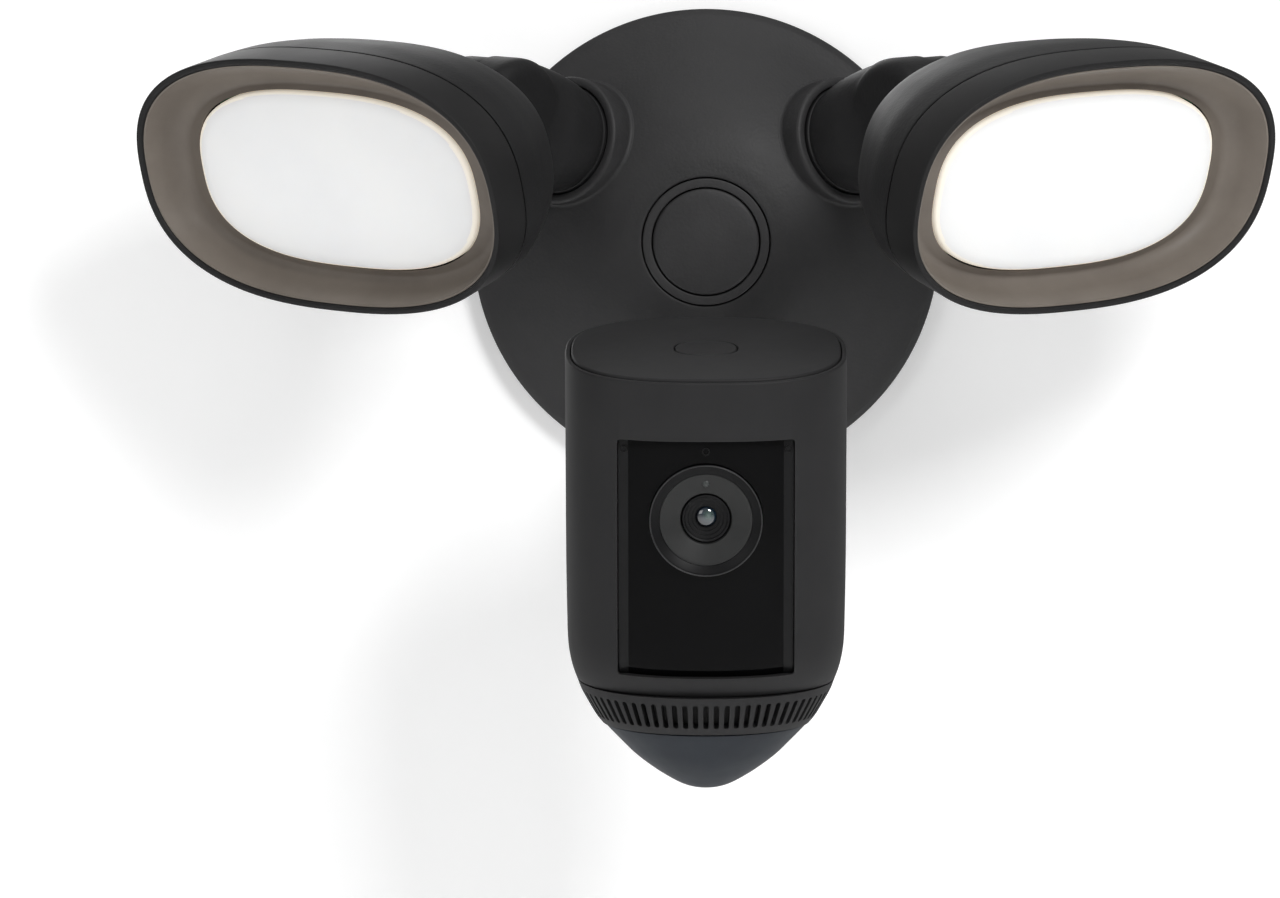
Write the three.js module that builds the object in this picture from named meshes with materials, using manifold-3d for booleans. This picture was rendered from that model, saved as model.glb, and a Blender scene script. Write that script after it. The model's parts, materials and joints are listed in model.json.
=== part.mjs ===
// Floodlight security camera: wall base, two swivel flood heads and a hanging camera.
// Millimetres, +Z up. The origin is the middle of the back of the base, on the wall.
// The wall is the plane y = 0 and the whole object stands in front of it, at y < 0.
import * as THREE from 'three';
import Module from 'manifold-3d';
import { mergeVertices } from 'three/addons/utils/BufferGeometryUtils.js';

const wasm = await Module();
wasm.setup();

const GAP = 0.3;

// Base
const BASE_R = 60;
const BASE_WALL = 2.6;
const GASKET_T = 2;
const HUMP_D = 28;
const CAP_R = 13.5;
const CAP_RING_R = 16.1;
const CAP_SEAT_D = 24;
const BOLT_R = 2.5;
const BRACKET_LEN = 96;
const BRACKET_W = 15;
const BRACKET_T = 3;
const BRACKET_SCREW_X = 33;

// Arm collars: centre of the collar mouth and direction of its axis
const COLLAR_X = 36.5;
const COLLAR_D = 19;
const COLLAR_Z = 26;
const COLLAR_AZ = 35.9;
const COLLAR_EL = 10.7;
const COLLAR_R = 16.6;
const ARM_R = 13.9;
const SPIGOT_R = 8.4;
const PIVOT_L = 28.6;
const KNUCKLE_R = 15.5;
const KNUCKLE_W = 20.8;
const LAP = 1;
const TONGUE_T = 8.8;
const TONGUE_R = 15;
const HEAD_PIN_R = 2.4;

// Flood heads, drawn in the frame of their rim: x along the rim, y up, z out of the light
const HEAD_SWIVEL = -4.7;
const HEAD_TILT = 21.8;
const HEAD_SKEW = 10.6;
const HEAD_REACH = 72.3;
const HEAD_DROP = -4.6;
const HEAD_A = 56.7;
const HEAD_B = 33;
const HEAD_N = 2.53;
const BEZEL_DEPTH = 12;
const LENS_A = 43.6;
const LENS_B = 23;
const LENS_N = 2.68;
const LENS_DEPTH = 8.6;

// Camera body, drawn in its own frame: z up its axis from the middle of its top
const BODY_TOP_D = 118;
const BODY_TOP_Z = -27.2;
const BODY_TILT = 9.5;
const BODY_W = 34.2;
const BODY_DEEP = 33.5;
const TOP_SLOPE = 0.066;
const SEAM_SLOPE = -0.027;
const DOME_SLOPE = -0.062;
const WINDOW_W = 42.6;
const WINDOW_TOP = -16;
const WINDOW_BOTTOM = -74.4;
const LENS_Z = -35.4;
const LENS_RING_R = 13.5;
const GRILLE_TOP = -80.5;
const GRILLE_BOTTOM = -91.35;
const DOME_TIP = -108.4;
const SLOT_PITCH = 2.4;
const BUTTON_W = 15;
const BUTTON_DEEP = 14.3;

// Camera hinges
const PAN_D = 48;
const PAN_Z = -46;
const TILT_D = 71.5;
const TILT_Z = -52;
const NECK_D = 12;
const NECK_Z = -33;

const rad = THREE.MathUtils.degToRad;
const vec = (x, y, z) => new THREE.Vector3(x, y, z);

// Frame with origin o and axes x, y, z as a matrix
function frame(o, x, y, z) {
  return new THREE.Matrix4().makeBasis(x, y, z).setPosition(o);
}

// Frame at o whose z axis runs along dir
function along(o, dir) {
  const z = dir.clone().normalize();
  const up = Math.abs(z.z) > 0.9 ? vec(0, 1, 0) : vec(0, 0, 1);
  const x = up.clone().cross(z).normalize();
  const y = z.clone().cross(x);
  return frame(o, x, y, z);
}

// Ring of a loft: half widths a and b at height z, exponent n, shift in y and slope of z over y
function ring(a, b, z, n = 2, shift = 0, slope = 0) {
  return { a, b, z, n, shift, slope };
}

// Closed skin through superellipse rings: it ends in points on the axis or closes on itself
function loft(rings, segments = 48) {
  const closed = rings[0].a > 0;
  const list = closed ? [...rings, rings[0]] : rings;
  const profile = list.map((r) => new THREE.Vector2(Math.max(r.a, 0), r.z));
  const geometry = new THREE.LatheGeometry(profile, segments);
  const position = geometry.attributes.position;
  for (let i = 0; i <= segments; i += 1) {
    const angle = (2 * Math.PI * (i % segments)) / segments;
    const c = Math.cos(angle);
    const s = Math.sin(angle);
    for (let j = 0; j < list.length; j += 1) {
      const r = list[j];
      const x = r.a * Math.sign(c) * Math.abs(c) ** (2 / r.n);
      const y = r.b * Math.sign(s) * Math.abs(s) ** (2 / r.n);
      const flat = r.a === 0;
      position.setXYZ(i * list.length + j, flat ? 0 : x, (flat ? 0 : y) + r.shift, r.z + r.slope * y);
    }
  }
  return geometry;
}

// Solid of revolution about z from [radius, z] pairs
function turned(pairs, segments = 32) {
  return loft(pairs.map(([r, z]) => ring(r, r, z)), segments);
}

function cylinder(r, z0, z1, segments = 24) {
  return turned([[0, z0], [r, z0], [r, z1], [0, z1]], segments);
}

function tube(outer, inner, z0, z1, segments = 32) {
  return turned([[inner, z0], [outer, z0], [outer, z1], [inner, z1]], segments);
}

function box(w, d, h, x = 0, y = 0, z = 0) {
  return new THREE.BoxGeometry(w, d, h).translate(x, y, z);
}

// Plate with rounded corners in the xz plane, between y0 and y1
function roundedPlate(w, h, r, y0, y1, x = 0, z = 0) {
  const s = new THREE.Shape();
  s.moveTo(-w / 2 + r, -h / 2);
  s.lineTo(w / 2 - r, -h / 2);
  s.absarc(w / 2 - r, -h / 2 + r, r, -Math.PI / 2, 0);
  s.lineTo(w / 2, h / 2 - r);
  s.absarc(w / 2 - r, h / 2 - r, r, 0, Math.PI / 2);
  s.lineTo(-w / 2 + r, h / 2);
  s.absarc(-w / 2 + r, h / 2 - r, r, Math.PI / 2, Math.PI);
  s.lineTo(-w / 2, -h / 2 + r);
  s.absarc(-w / 2 + r, -h / 2 + r, r, Math.PI, 1.5 * Math.PI);
  const g = new THREE.ExtrudeGeometry(s, { depth: y1 - y0, bevelEnabled: false, curveSegments: 3 });
  return g.rotateX(Math.PI / 2).translate(x, y1, z);
}

// Manifold solid from a three.js geometry, turned outward if its skin faces inward
function solid(geometry, matrix) {
  const plain = new THREE.BufferGeometry();
  plain.setAttribute('position', geometry.attributes.position.clone());
  if (geometry.index) {
    plain.setIndex(Array.from(geometry.index.array));
  }
  if (matrix) {
    plain.applyMatrix4(matrix);
  }
  const merged = mergeVertices(plain, 1e-4);
  const position = merged.attributes.position;
  const triangles = [];
  let volume = 0;
  const corner = [vec(0, 0, 0), vec(0, 0, 0), vec(0, 0, 0)];
  for (let i = 0; i < merged.index.count; i += 3) {
    const t = [merged.index.getX(i), merged.index.getX(i + 1), merged.index.getX(i + 2)];
    const whole = t[0] !== t[1] && t[1] !== t[2] && t[2] !== t[0];
    if (whole) {
      triangles.push(t);
      t.forEach((v, k) => corner[k].fromBufferAttribute(position, v));
      volume += corner[0].dot(corner[1].clone().cross(corner[2]));
    }
  }
  const order = volume < 0 ? triangles.map((t) => [t[0], t[2], t[1]]) : triangles;
  const mesh = new wasm.Mesh({
    numProp: 3,
    vertProperties: new Float32Array(position.array),
    triVerts: new Uint32Array(order.flat()),
  });
  return new wasm.Manifold(mesh);
}

function join(...solids) {
  return solids.reduce((a, b) => a.add(b));
}

function cut(body, ...tools) {
  return tools.reduce((a, b) => a.subtract(b), body);
}

// three.js geometry of a manifold solid
function skin(body) {
  const mesh = body.simplify(0.06).getMesh();
  const geometry = new THREE.BufferGeometry();
  geometry.setAttribute('position', new THREE.BufferAttribute(new Float32Array(mesh.vertProperties), 3));
  geometry.setIndex(new THREE.BufferAttribute(new Uint32Array(mesh.triVerts), 1));
  const flat = geometry.toNonIndexed();
  flat.computeVertexNormals();
  return flat;
}

const PAINT = { color: 0x26262a, roughness: 0.45, metalness: 0.1 };
const MATTE = { color: 0x222225, roughness: 0.75, metalness: 0 };
const GLOSS = { color: 0x08080a, roughness: 0.08, metalness: 0 };
const STEEL = { color: 0xa9abad, roughness: 0.35, metalness: 1 };
const ALUMINIUM = { color: 0x9a9c9f, roughness: 0.45, metalness: 1 };
const RUBBER = { color: 0x131314, roughness: 0.9, metalness: 0 };
const BOARD = { color: 0x1d5a34, roughness: 0.55, metalness: 0 };
const OPAL = { color: 0xe9e9e6, roughness: 0.35, metalness: 0 };
const GREY = { color: 0x4d5257, roughness: 0.5, metalness: 0.1 };

const object = new THREE.Group();
object.name = 'floodlight_camera';

// Adds one named mesh, body given in the frame of matrix
function part(name, body, look, matrix) {
  const geometry = skin(body);
  if (matrix) {
    geometry.applyMatrix4(matrix);
  }
  const mesh = new THREE.Mesh(geometry, new THREE.MeshStandardMaterial(look));
  mesh.name = name;
  object.add(mesh);
}

// ---------------------------------------------------------------- frames

// Everything of one side: s is -1 on the left and +1 on the right
function sideFrames(s) {
  const az = rad(COLLAR_AZ);
  const el = rad(COLLAR_EL);
  const mouth = vec(-COLLAR_X, -COLLAR_D, COLLAR_Z);
  const a = vec(-Math.sin(az) * Math.cos(el), -Math.cos(az) * Math.cos(el), Math.sin(el));
  const level = a.clone().cross(vec(0, 0, 1)).normalize();
  if (level.x < 0) {
    level.negate();
  }
  const upright = a.clone().cross(level);
  const sw = rad(HEAD_SWIVEL);
  const u = level.multiplyScalar(Math.cos(sw)).add(upright.multiplyScalar(Math.sin(sw)));
  const v1 = a.clone().cross(u);
  const tilt = rad(HEAD_TILT);
  const h = a.clone().multiplyScalar(Math.cos(tilt)).addScaledVector(v1, -Math.sin(tilt));
  const v = v1.clone().multiplyScalar(Math.cos(tilt)).addScaledVector(a, Math.sin(tilt));
  const pivot = mouth.clone().addScaledVector(a, PIVOT_L);
  const rimCentre = pivot.clone().addScaledVector(h, HEAD_REACH).addScaledVector(v, HEAD_DROP);
  const skew = rad(HEAD_SKEW);
  const n = h.clone().multiplyScalar(Math.cos(skew)).addScaledVector(v, -Math.sin(skew));
  const vr = v.clone().multiplyScalar(Math.cos(skew)).addScaledVector(h, Math.sin(skew));
  const flip = (p) => vec(s < 0 ? p.x : -p.x, p.y, p.z);
  const side = (p) => (s < 0 ? p.clone() : flip(p).negate());
  return {
    s,
    arm: frame(flip(mouth), side(u), flip(v1), flip(a)),
    rim: frame(flip(rimCentre), side(u), flip(vr), flip(n)),
    pivot: flip(pivot),
    u: side(u),
    a: flip(a),
  };
}

const LEFT = sideFrames(-1);
const RIGHT = sideFrames(1);

function bodyFrame() {
  const t = rad(BODY_TILT);
  const o = vec(0, -BODY_TOP_D, BODY_TOP_Z);
  return frame(o, vec(1, 0, 0), vec(0, Math.cos(t), Math.sin(t)), vec(0, -Math.sin(t), Math.cos(t)));
}

const BODY = bodyFrame();
// Base frame: z out of the wall
const BASE = frame(vec(0, 0, 0), vec(1, 0, 0), vec(0, 0, 1), vec(0, -1, 0));
const NECK_ROOT = vec(0, -NECK_D, NECK_Z);
const NECK_END = vec(0, -PAN_D, PAN_Z);
const NECK = along(NECK_ROOT, NECK_END.clone().sub(NECK_ROOT));
const NECK_LEN = NECK_END.distanceTo(NECK_ROOT);

// Point of the pivot in the rim frame
const PIVOT_IN_RIM = LEFT.pivot.clone().applyMatrix4(LEFT.rim.clone().invert());

// ---------------------------------------------------------------- base

// Outer profile of the dome as [radius, distance from the wall]
const DOME = [
  [BASE_R, 2.3], [BASE_R, 5.4], [58.5, 6.9], [54, 9.7], [47, 14.7],
  [38, 20.8], [29, 25.5], [22, 27.5], [17.4, HUMP_D],
];

function domeSolid() {
  return turned([[0, 2.3], ...DOME, [0, HUMP_D]], 48);
}

function domeCavity() {
  const inner = DOME.slice(3, 6).map(([r, d]) => [r - 1.4, d - BASE_WALL]);
  const top = CAP_SEAT_D - BASE_WALL;
  return turned([[0, 1], [57.3, 1], [57, 4.4], ...inner, [30, top], [0, top]], 28);
}

// Boss round the mouth of an arm, in the frame of that arm
function collar(matrix) {
  const r = COLLAR_R;
  return solid(turned([[0, -12], [r, -12], [r, -0.4], [r - 1, 0.6], [0, 0.6]], 28), matrix);
}

function collarCuts(matrix) {
  const seat = solid(cylinder(ARM_R + 0.4, -1.8, 40, 28), matrix);
  const bore = solid(cylinder(SPIGOT_R + GAP, -12, 4, 16), matrix);
  const rear = solid(cylinder(10.6, -20, -6.2, 16), matrix);
  return [seat, bore, rear];
}

// Boss that takes the foot of the camera neck, as high as the dome
function neckBoss() {
  return solid(cylinder(12.5, -9, 20, 20), NECK).intersect(solid(domeSolid(), BASE));
}

function baseHousing() {
  let body = solid(domeSolid(), BASE).subtract(solid(domeCavity(), BASE));
  const room = solid(box(140, 60, 140, 0, -32.3, 0));
  body = join(body, collar(LEFT.arm), collar(RIGHT.arm), neckBoss()).intersect(room);
  const capSeat = solid(cylinder(CAP_RING_R + GAP, CAP_SEAT_D, 40, 36), BASE);
  const boltHole = solid(cylinder(BOLT_R + 0.5, 0, 40, 12), BASE);
  const neckSeat = solid(cylinder(10.3, 1.6, 30, 20), NECK);
  const neckBore = solid(cylinder(5, -20, 10, 12), NECK);
  const screws = [-7.4, 7.4].map((x) => solid(cylinder(1.3, -20, 10, 6).translate(x, 0, 0), NECK));
  return cut(body, ...collarCuts(LEFT.arm), ...collarCuts(RIGHT.arm), capSeat, boltHole,
    neckSeat, neckBore, ...screws);
}

function wallGasket() {
  return solid(tube(BASE_R - 2, BASE_R - 8, 0, GASKET_T, 32), BASE);
}

function wallBracket() {
  const bar = solid(roundedPlate(BRACKET_LEN, BRACKET_W, 6, -0.4 - BRACKET_T, -0.4));
  const ribs = solid(box(54, 2.2, 2.4, 0, -0.4 - BRACKET_T - 1.05, 0));
  const slots = [-1, 1].map((s) => solid(roundedPlate(16, 4.6, 2.2, -5, 1, s * BRACKET_SCREW_X, 0)));
  const boss = solid(cylinder(5.5, 3, 7, 16), BASE);
  const bore = solid(cylinder(BOLT_R + 0.25, -1, 20, 16), BASE);
  return cut(join(bar, ribs, boss), ...slots, bore);
}

function screw(headR, headT, shankR, length) {
  const head = turned([[0, -length], [shankR, -length], [shankR, 0], [headR, 0], [headR, headT * 0.6],
    [headR * 0.75, headT], [0, headT]], 16);
  const slot = box(headR * 1.4, 0.9, 1.4, 0, 0, headT);
  return solid(head).subtract(solid(slot));
}

function centreBolt() {
  const length = CAP_SEAT_D - 1.2;
  return screw(5.6, 2.4, BOLT_R, length);
}

function capRing() {
  return solid(turned([[CAP_R + GAP, CAP_SEAT_D + 0.3], [CAP_RING_R, CAP_SEAT_D + 0.3],
    [CAP_RING_R, HUMP_D - 0.1], [CAP_RING_R - 0.6, HUMP_D + 0.5], [CAP_R + GAP + 0.5, HUMP_D + 0.5],
    [CAP_R + GAP, HUMP_D]], 36), BASE);
}

function centreCap() {
  const skirt = turned([[0, HUMP_D - 0.7], [10.6, HUMP_D - 0.7], [10.6, CAP_SEAT_D + 0.3],
    [CAP_R - 1, CAP_SEAT_D + 0.3], [CAP_R, CAP_SEAT_D + 0.9], [CAP_R, HUMP_D], [CAP_R - 0.8, HUMP_D + 0.8],
    [0, HUMP_D + 1.1]], 36);
  return solid(skirt, BASE);
}

function powerBoard() {
  const board = solid(box(27, 1.6, 18, 0, -13.2, 21));
  const coil = solid(box(11, 7, 11, -7.5, -9, 21));
  const can = solid(cylinder(3.8, 5.5, 12.7, 12).translate(5, 22, 0), BASE);
  const relay = solid(box(3.4, 5, 9, 11, -10.1, 21));
  return join(board, coil, can, relay);
}

function terminalBlock() {
  const block = solid(box(26, 9, 8, 0, -11, -13.2));
  const holes = [-9, -3, 3, 9].map((x) => solid(cylinder(1.5, -1, 9, 10), frame(vec(x, 0, -13.2),
    vec(1, 0, 0), vec(0, 0, 1), vec(0, -1, 0))));
  return cut(block, ...holes);
}

function retainer() {
  return solid(tube(10.2, SPIGOT_R + GAP, -8.8, -6.6, 20));
}

// ---------------------------------------------------------------- arms

// Frame on the tilt axis at (y, z), its z axis towards the middle of the light
function acrossFrame(s, y, z) {
  return frame(vec(0, y, z), vec(0, 1, 0), vec(0, 0, -s), vec(-s, 0, 0));
}

// The arm ends in one cheek of a lap joint; the tongue of the head turns beside it
function swivelArm(s) {
  const base = loft([
    ring(0, 0, -9.4), ring(SPIGOT_R, SPIGOT_R, -9.4), ring(SPIGOT_R, SPIGOT_R, -1.4),
    ring(ARM_R, ARM_R, -1.4), ring(ARM_R, ARM_R, 1), ring(ARM_R - 0.4, ARM_R - 0.1, 1.8),
    ring(13.5, 15, 6, 2.1), ring(12.9, 15.7, 11, 2.2), ring(11.6, 16, 14.8, 2.3),
    ring(10.5, 16.1, 19, 2.5), ring(10.2, 15.8, PIVOT_L - 4, 2.7), ring(0, 0, PIVOT_L - 4),
  ], 32);
  const w = KNUCKLE_W / 2;
  const r = KNUCKLE_R;
  const eye = turned([[0, -LAP], [r - 0.8, -LAP], [r, 0.8 - LAP], [r, w - 3.8], [r - 1.3, w - 1.2],
    [r - 4.2, w], [0, w]], 28);
  const across = acrossFrame(s, 0, PIVOT_L);
  const room = solid(cylinder(TONGUE_R + 0.4, -20, -LAP, 32), across);
  const above = solid(box(20, 50, 40, s * (10 + LAP), 0, PIVOT_L - 9 + 20));
  const pinHole = solid(cylinder(HEAD_PIN_R + 0.15, -20, 20, 16), across);
  const duct = solid(cylinder(3.6, -20, 24, 10));
  return cut(join(solid(base), solid(eye, across)), room, above, pinHole, duct);
}

function pivotPin() {
  const w = KNUCKLE_W / 2 - 0.2;
  const pin = turned([[0, -w], [HEAD_PIN_R, -w], [HEAD_PIN_R, w], [0, w]], 24);
  return solid(pin, frame(vec(0, 0, PIVOT_L), vec(0, 1, 0), vec(0, 0, 1), vec(1, 0, 0)));
}

// ---------------------------------------------------------------- flood heads

const SKEW = Math.tan(rad(HEAD_SKEW));

// Section of the head t behind the rim, k times the rim's size less inset all round
function headRing(k, t, inset = 0, n = HEAD_N) {
  return ring(HEAD_A * k - inset, HEAD_B * k - inset, -t, n, -SKEW * t);
}

// Outside of the rear shell: depth behind the rim, width and height against the rim's, and lift
const SHELL = [
  [BEZEL_DEPTH + 0.5, 0.985, 0.985, 1.5], [19.5, 0.96, 0.965, 2.4], [24.5, 0.925, 0.93, 3.2],
  [29.5, 0.881, 0.885, 4], [36.5, 0.805, 0.815, 4.6], [42.5, 0.712, 0.7, 4.2],
  [48, 0.515, 0.51, 2.9], [51, 0.285, 0.295, 1.4],
];
const SHELL_END = 52;

// Section of the rear shell from a row of SHELL, moved forward and less inset all round
function shellRing([t, ka, kb, lift], forward = 0, inset = 0) {
  const depth = t - forward;
  return ring(HEAD_A * ka - inset, HEAD_B * kb - inset, -depth, HEAD_N, lift - SKEW * depth);
}

// Plate at the back of the head that turns beside the cheek of the arm
function tongue(side) {
  const p = PIVOT_IN_RIM;
  const s = new THREE.Shape();
  const r = TONGUE_R;
  s.moveTo(p.y + r, p.z);
  s.lineTo(p.y + r - 1.8, p.z + 9);
  s.lineTo(p.y + r, p.z + 18);
  s.lineTo(p.y + 20, -44);
  s.lineTo(p.y - 14, -44);
  s.lineTo(p.y - r + 1.8, p.z + 9);
  s.lineTo(p.y - r, p.z);
  s.absarc(p.y, p.z, r, Math.PI, 2 * Math.PI);
  const g = new THREE.ExtrudeGeometry(s, { depth: TONGUE_T, bevelEnabled: false, curveSegments: 16 });
  g.translate(0, 0, side < 0 ? -LAP - GAP - TONGUE_T : LAP + GAP);
  return solid(g, frame(vec(0, 0, 0), vec(0, 1, 0), vec(0, 0, 1), vec(1, 0, 0)));
}

function rearShell(s) {
  const outside = SHELL.map((row) => shellRing(row));
  const back = ring(0, 0, -SHELL_END, HEAD_N, 1 - SKEW * SHELL_END);
  const outer = loft([ring(0, 0, -BEZEL_DEPTH - 0.5), ...outside, back], 36);
  const thin = [0, 1, 3, 5].map((i) => shellRing(SHELL[i], i ? 2.6 : 4, 2.6));
  const end = ring(0, 0, -46.5, HEAD_N, 3.4 - SKEW * 46.5);
  const inner = loft([ring(0, 0, -BEZEL_DEPTH + 3.5), ...thin, end], 24);
  const p = PIVOT_IN_RIM;
  const across = frame(vec(0, p.y, p.z), vec(0, 1, 0), vec(0, 0, 1), vec(1, 0, 0));
  const pinHole = solid(cylinder(HEAD_PIN_R + 0.25, -20, 20, 20), across);
  const middle = s * (LAP + GAP + TONGUE_T / 2);
  const duct = solid(cylinder(2.8, -66.8, -36.8, 16).translate(middle, p.y, 0));
  return cut(join(solid(outer), tongue(s)), solid(inner), pinHole, duct);
}

// Outer edge at the back of the bezel, which meets the rear shell
function bezelFoot(inset = 0, depth = 0) {
  const [t, ka, kb, lift] = SHELL[0];
  return shellRing([t - 0.5 + depth, ka, kb, lift], 0, inset);
}

function bezel() {
  const d = BEZEL_DEPTH;
  return solid(loft([
    bezelFoot(), headRing(1, 0.9), headRing(1, 0, 0.7), headRing(1, 0.1, 1.4),
    headRing(1, 0.9, 1.8), headRing(1, d, 3.2),
  ], 36));
}

// Gasket tongue between bezel and rear shell, inside the skin
function headGasket() {
  return solid(loft([
    bezelFoot(4.5, 3), bezelFoot(4.5, 0.3), bezelFoot(6.4, 0.3), bezelFoot(6.4, 3),
  ], 28));
}

// Ring the same size and shift as the lens, t behind the rim
function lensRing(t, grow = 0) {
  return ring(LENS_A + grow, LENS_B + grow, -t, LENS_N, -SKEW * LENS_DEPTH);
}

// Liner of the bezel: a wall that runs in from the lip and a floor round the lens
function reflector() {
  const d = BEZEL_DEPTH;
  return solid(loft([
    headRing(1, 0.9, 2.1), headRing(1, d - 0.3, 3.5), lensRing(d - 0.3, 1), lensRing(d - 2.2, 1),
    headRing(1, d - 1.7, 6.6), headRing(1, d - 3.2, 5.4), headRing(1, 1.2, 2.7),
  ], 36));
}

function diffuser() {
  const t = LENS_DEPTH;
  const shift = -SKEW * t;
  return solid(loft([
    ring(0, 0, -t - 3, LENS_N, shift), ring(LENS_A - 1.6, LENS_B - 1.6, -t - 3, LENS_N, shift),
    ring(LENS_A - 1.6, LENS_B - 1.6, -t - 4.6, LENS_N, shift),
    ring(LENS_A + 0.5, LENS_B + 0.5, -t - 4.6, LENS_N, shift),
    lensRing(t + 0.5, 0.4), lensRing(t, 0), lensRing(t - 0.7, -4), lensRing(t - 1.4, -12),
    ring(0, 0, -t + 1.8, LENS_N, shift),
  ], 32));
}

function ledBoard() {
  const z = -BEZEL_DEPTH - 4.4;
  const y = -SKEW * BEZEL_DEPTH;
  const board = solid(box(80, 38, 1.6, 0, y, z));
  const chips = [];
  for (let i = 0; i < 5; i += 1) {
    for (let j = 0; j < 2; j += 1) {
      chips.push(solid(box(3.2, 3.2, 1, (i - 2) * 15, y + (j - 0.5) * 16, z + 1.2)));
    }
  }
  return join(board, ...chips);
}

function heatSink() {
  const z = -BEZEL_DEPTH - 5.5;
  const y = -SKEW * BEZEL_DEPTH;
  const plate = solid(box(78, 36, 3, 0, y, z - 1.5));
  const fins = [];
  for (let i = 0; i < 9; i += 1) {
    fins.push(solid(box(1.8, 28, 9, (i - 4) * 8, y + 0.5, z - 7)));
  }
  return join(plate, ...fins);
}

// ---------------------------------------------------------------- camera body

// Skin of the camera body as rings, from the top edge to the seam above the grille
const BODY_SKIN = [
  [0.4, 1, 2.65, TOP_SLOPE], [-24, 0.999, 2.62, 0.05], [-49, 0.997, 2.5, 0.03], [-64, 0.991, 2.4, 0],
  [-71, 0.985, 2.32, -0.014], [-75, 0.969, 2.28, -0.02], [-78, 0.947, 2.24, -0.024],
  [-80.2, 0.924, 2.2, SEAM_SLOPE],
];

function bodyRing([z, k, n, slope], inset = 0) {
  return ring(BODY_W * k - inset, BODY_DEEP * (0.98 * k + 0.02) * k - inset, z, n, 0, slope);
}

function bodySolid(inset, top = 0, bottom = 0) {
  const inside = inset > 2;
  const rows = inside ? [0, 2, 4, 6, 7].map((i) => BODY_SKIN[i]) : BODY_SKIN;
  const rings = rows.map((row) => bodyRing(row, inset));
  rings[0].z += top;
  const last = rings[rings.length - 1];
  last.z -= bottom;
  return solid(loft([ring(0, 0, rings[0].z), ...rings, ring(0, 0, last.z)], inside ? 28 : 40));
}

function windowPrism(grow) {
  const h = WINDOW_TOP - WINDOW_BOTTOM + 2 * grow;
  const mid = (WINDOW_TOP + WINDOW_BOTTOM) / 2;
  return solid(roundedPlate(WINDOW_W + 2 * grow, h, 1.2, -60, -10, 0, mid));
}

// Frame of the body at (x, z) whose z axis points backward
function backFrame(x, z) {
  return frame(vec(x, 0, z), vec(-1, 0, 0), vec(0, 0, 1), vec(0, 1, 0));
}

function bodyShell() {
  const r = bodyRing(BODY_SKIN[0]);
  const top = loft([
    topRing(0, 0, -1.4), topRing(r.a - 1.2, r.b - 1.2, -1.4),
    topRing(r.a - 1.2, r.b - 1.2, 4), topRing(0, 0, 4),
  ], 36);
  const shell = cut(bodySolid(0), bodySolid(2.4, 8, 8), solid(top));
  const a = BODY_W - 5;
  const b = BODY_DEEP - 5;
  const ledge = bodySolid(1.2).intersect(solid(loft([
    topRing(34, 34, -4.4), topRing(34, 34, -1.4), topRing(a, b, -1.4), topRing(a, b, -4.4),
  ], 28)));
  const pilot = [-9, 9].map((x) => solid(cylinder(1.2, 20, 40, 8), backFrame(x, -12)));
  return cut(join(shell, ledge), windowPrism(0), ...pilot);
}

function windowPanel() {
  const plate = bodySolid(1.6).subtract(bodySolid(3.9, 9, 9)).intersect(windowPrism(-GAP));
  const hole = solid(cylinder(LENS_RING_R + GAP, 10, 60, 36), lensFrame());
  const eyes = [[0, -18.8], [-19.9, -18.6], [19.9, -18.6]].map(([x, z]) => solid(
    cylinder(0.65, 10, 60, 8),
    frame(vec(x, 0, z), vec(1, 0, 0), vec(0, 0, 1), vec(0, -1, 0)),
  ));
  return cut(plate, hole, ...eyes);
}

// Frame on the optical axis, z forward, in the body frame
function lensFrame() {
  return frame(vec(0, 0, LENS_Z), vec(1, 0, 0), vec(0, 0, 1), vec(0, -1, 0));
}

function lensRingPart() {
  return solid(turned([[LENS_RING_R - 0.1, 27], [LENS_RING_R - 0.1, 32.6], [LENS_RING_R - 0.6, 33.2],
    [LENS_RING_R - 1.2, 33.2], [11.5, 32], [11.5, 27]], 36), lensFrame());
}

function lensCone() {
  const cone = solid(turned([[11.2, 24], [11.2, 31.8], [10.9, 31.8], [6.4, 29.6], [6.4, 28.4], [8.6, 28.4],
    [8.6, 24]], 24), lensFrame());
  return cone.subtract(solid(cylinder(1.2, 20, 40, 10), ledFrame()));
}

function lensBarrel() {
  return solid(turned([[0, 12], [7.4, 12], [7.4, 24], [8.2, 24], [8.2, 28], [6.1, 28], [6.1, 29.4],
    [5.5, 29.4], [5.5, 27.5], [0, 27.5]], 18), lensFrame());
}

function lensGlass() {
  const bulge = turned([[0, 27.8], [5.2, 27.8], [5.2, 28.9], [4, 29.9], [2.2, 30.6], [0, 30.9]], 28);
  return solid(bulge, lensFrame());
}

function sensorBoard() {
  const board = solid(box(24, 1.4, 24, 0, -10.9, LENS_Z));
  const chip = solid(box(8, 3, 8, 0, -9, LENS_Z));
  return join(board, chip);
}

function statusLed() {
  return solid(turned([[0, 28.7], [0.9, 28.7], [0.9, 31.2], [0.5, 31.5], [0, 31.5]], 12), ledFrame());
}

// Frame of the status light, above the lens in the grey cone
function ledFrame() {
  return frame(vec(0, 0, LENS_Z + 8.8), vec(1, 0, 0), vec(0, 0, 1), vec(0, -1, 0));
}

function topRing(a, b, z, n = 2.65) {
  return ring(a, b, z, n, 0, TOP_SLOPE);
}

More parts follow.
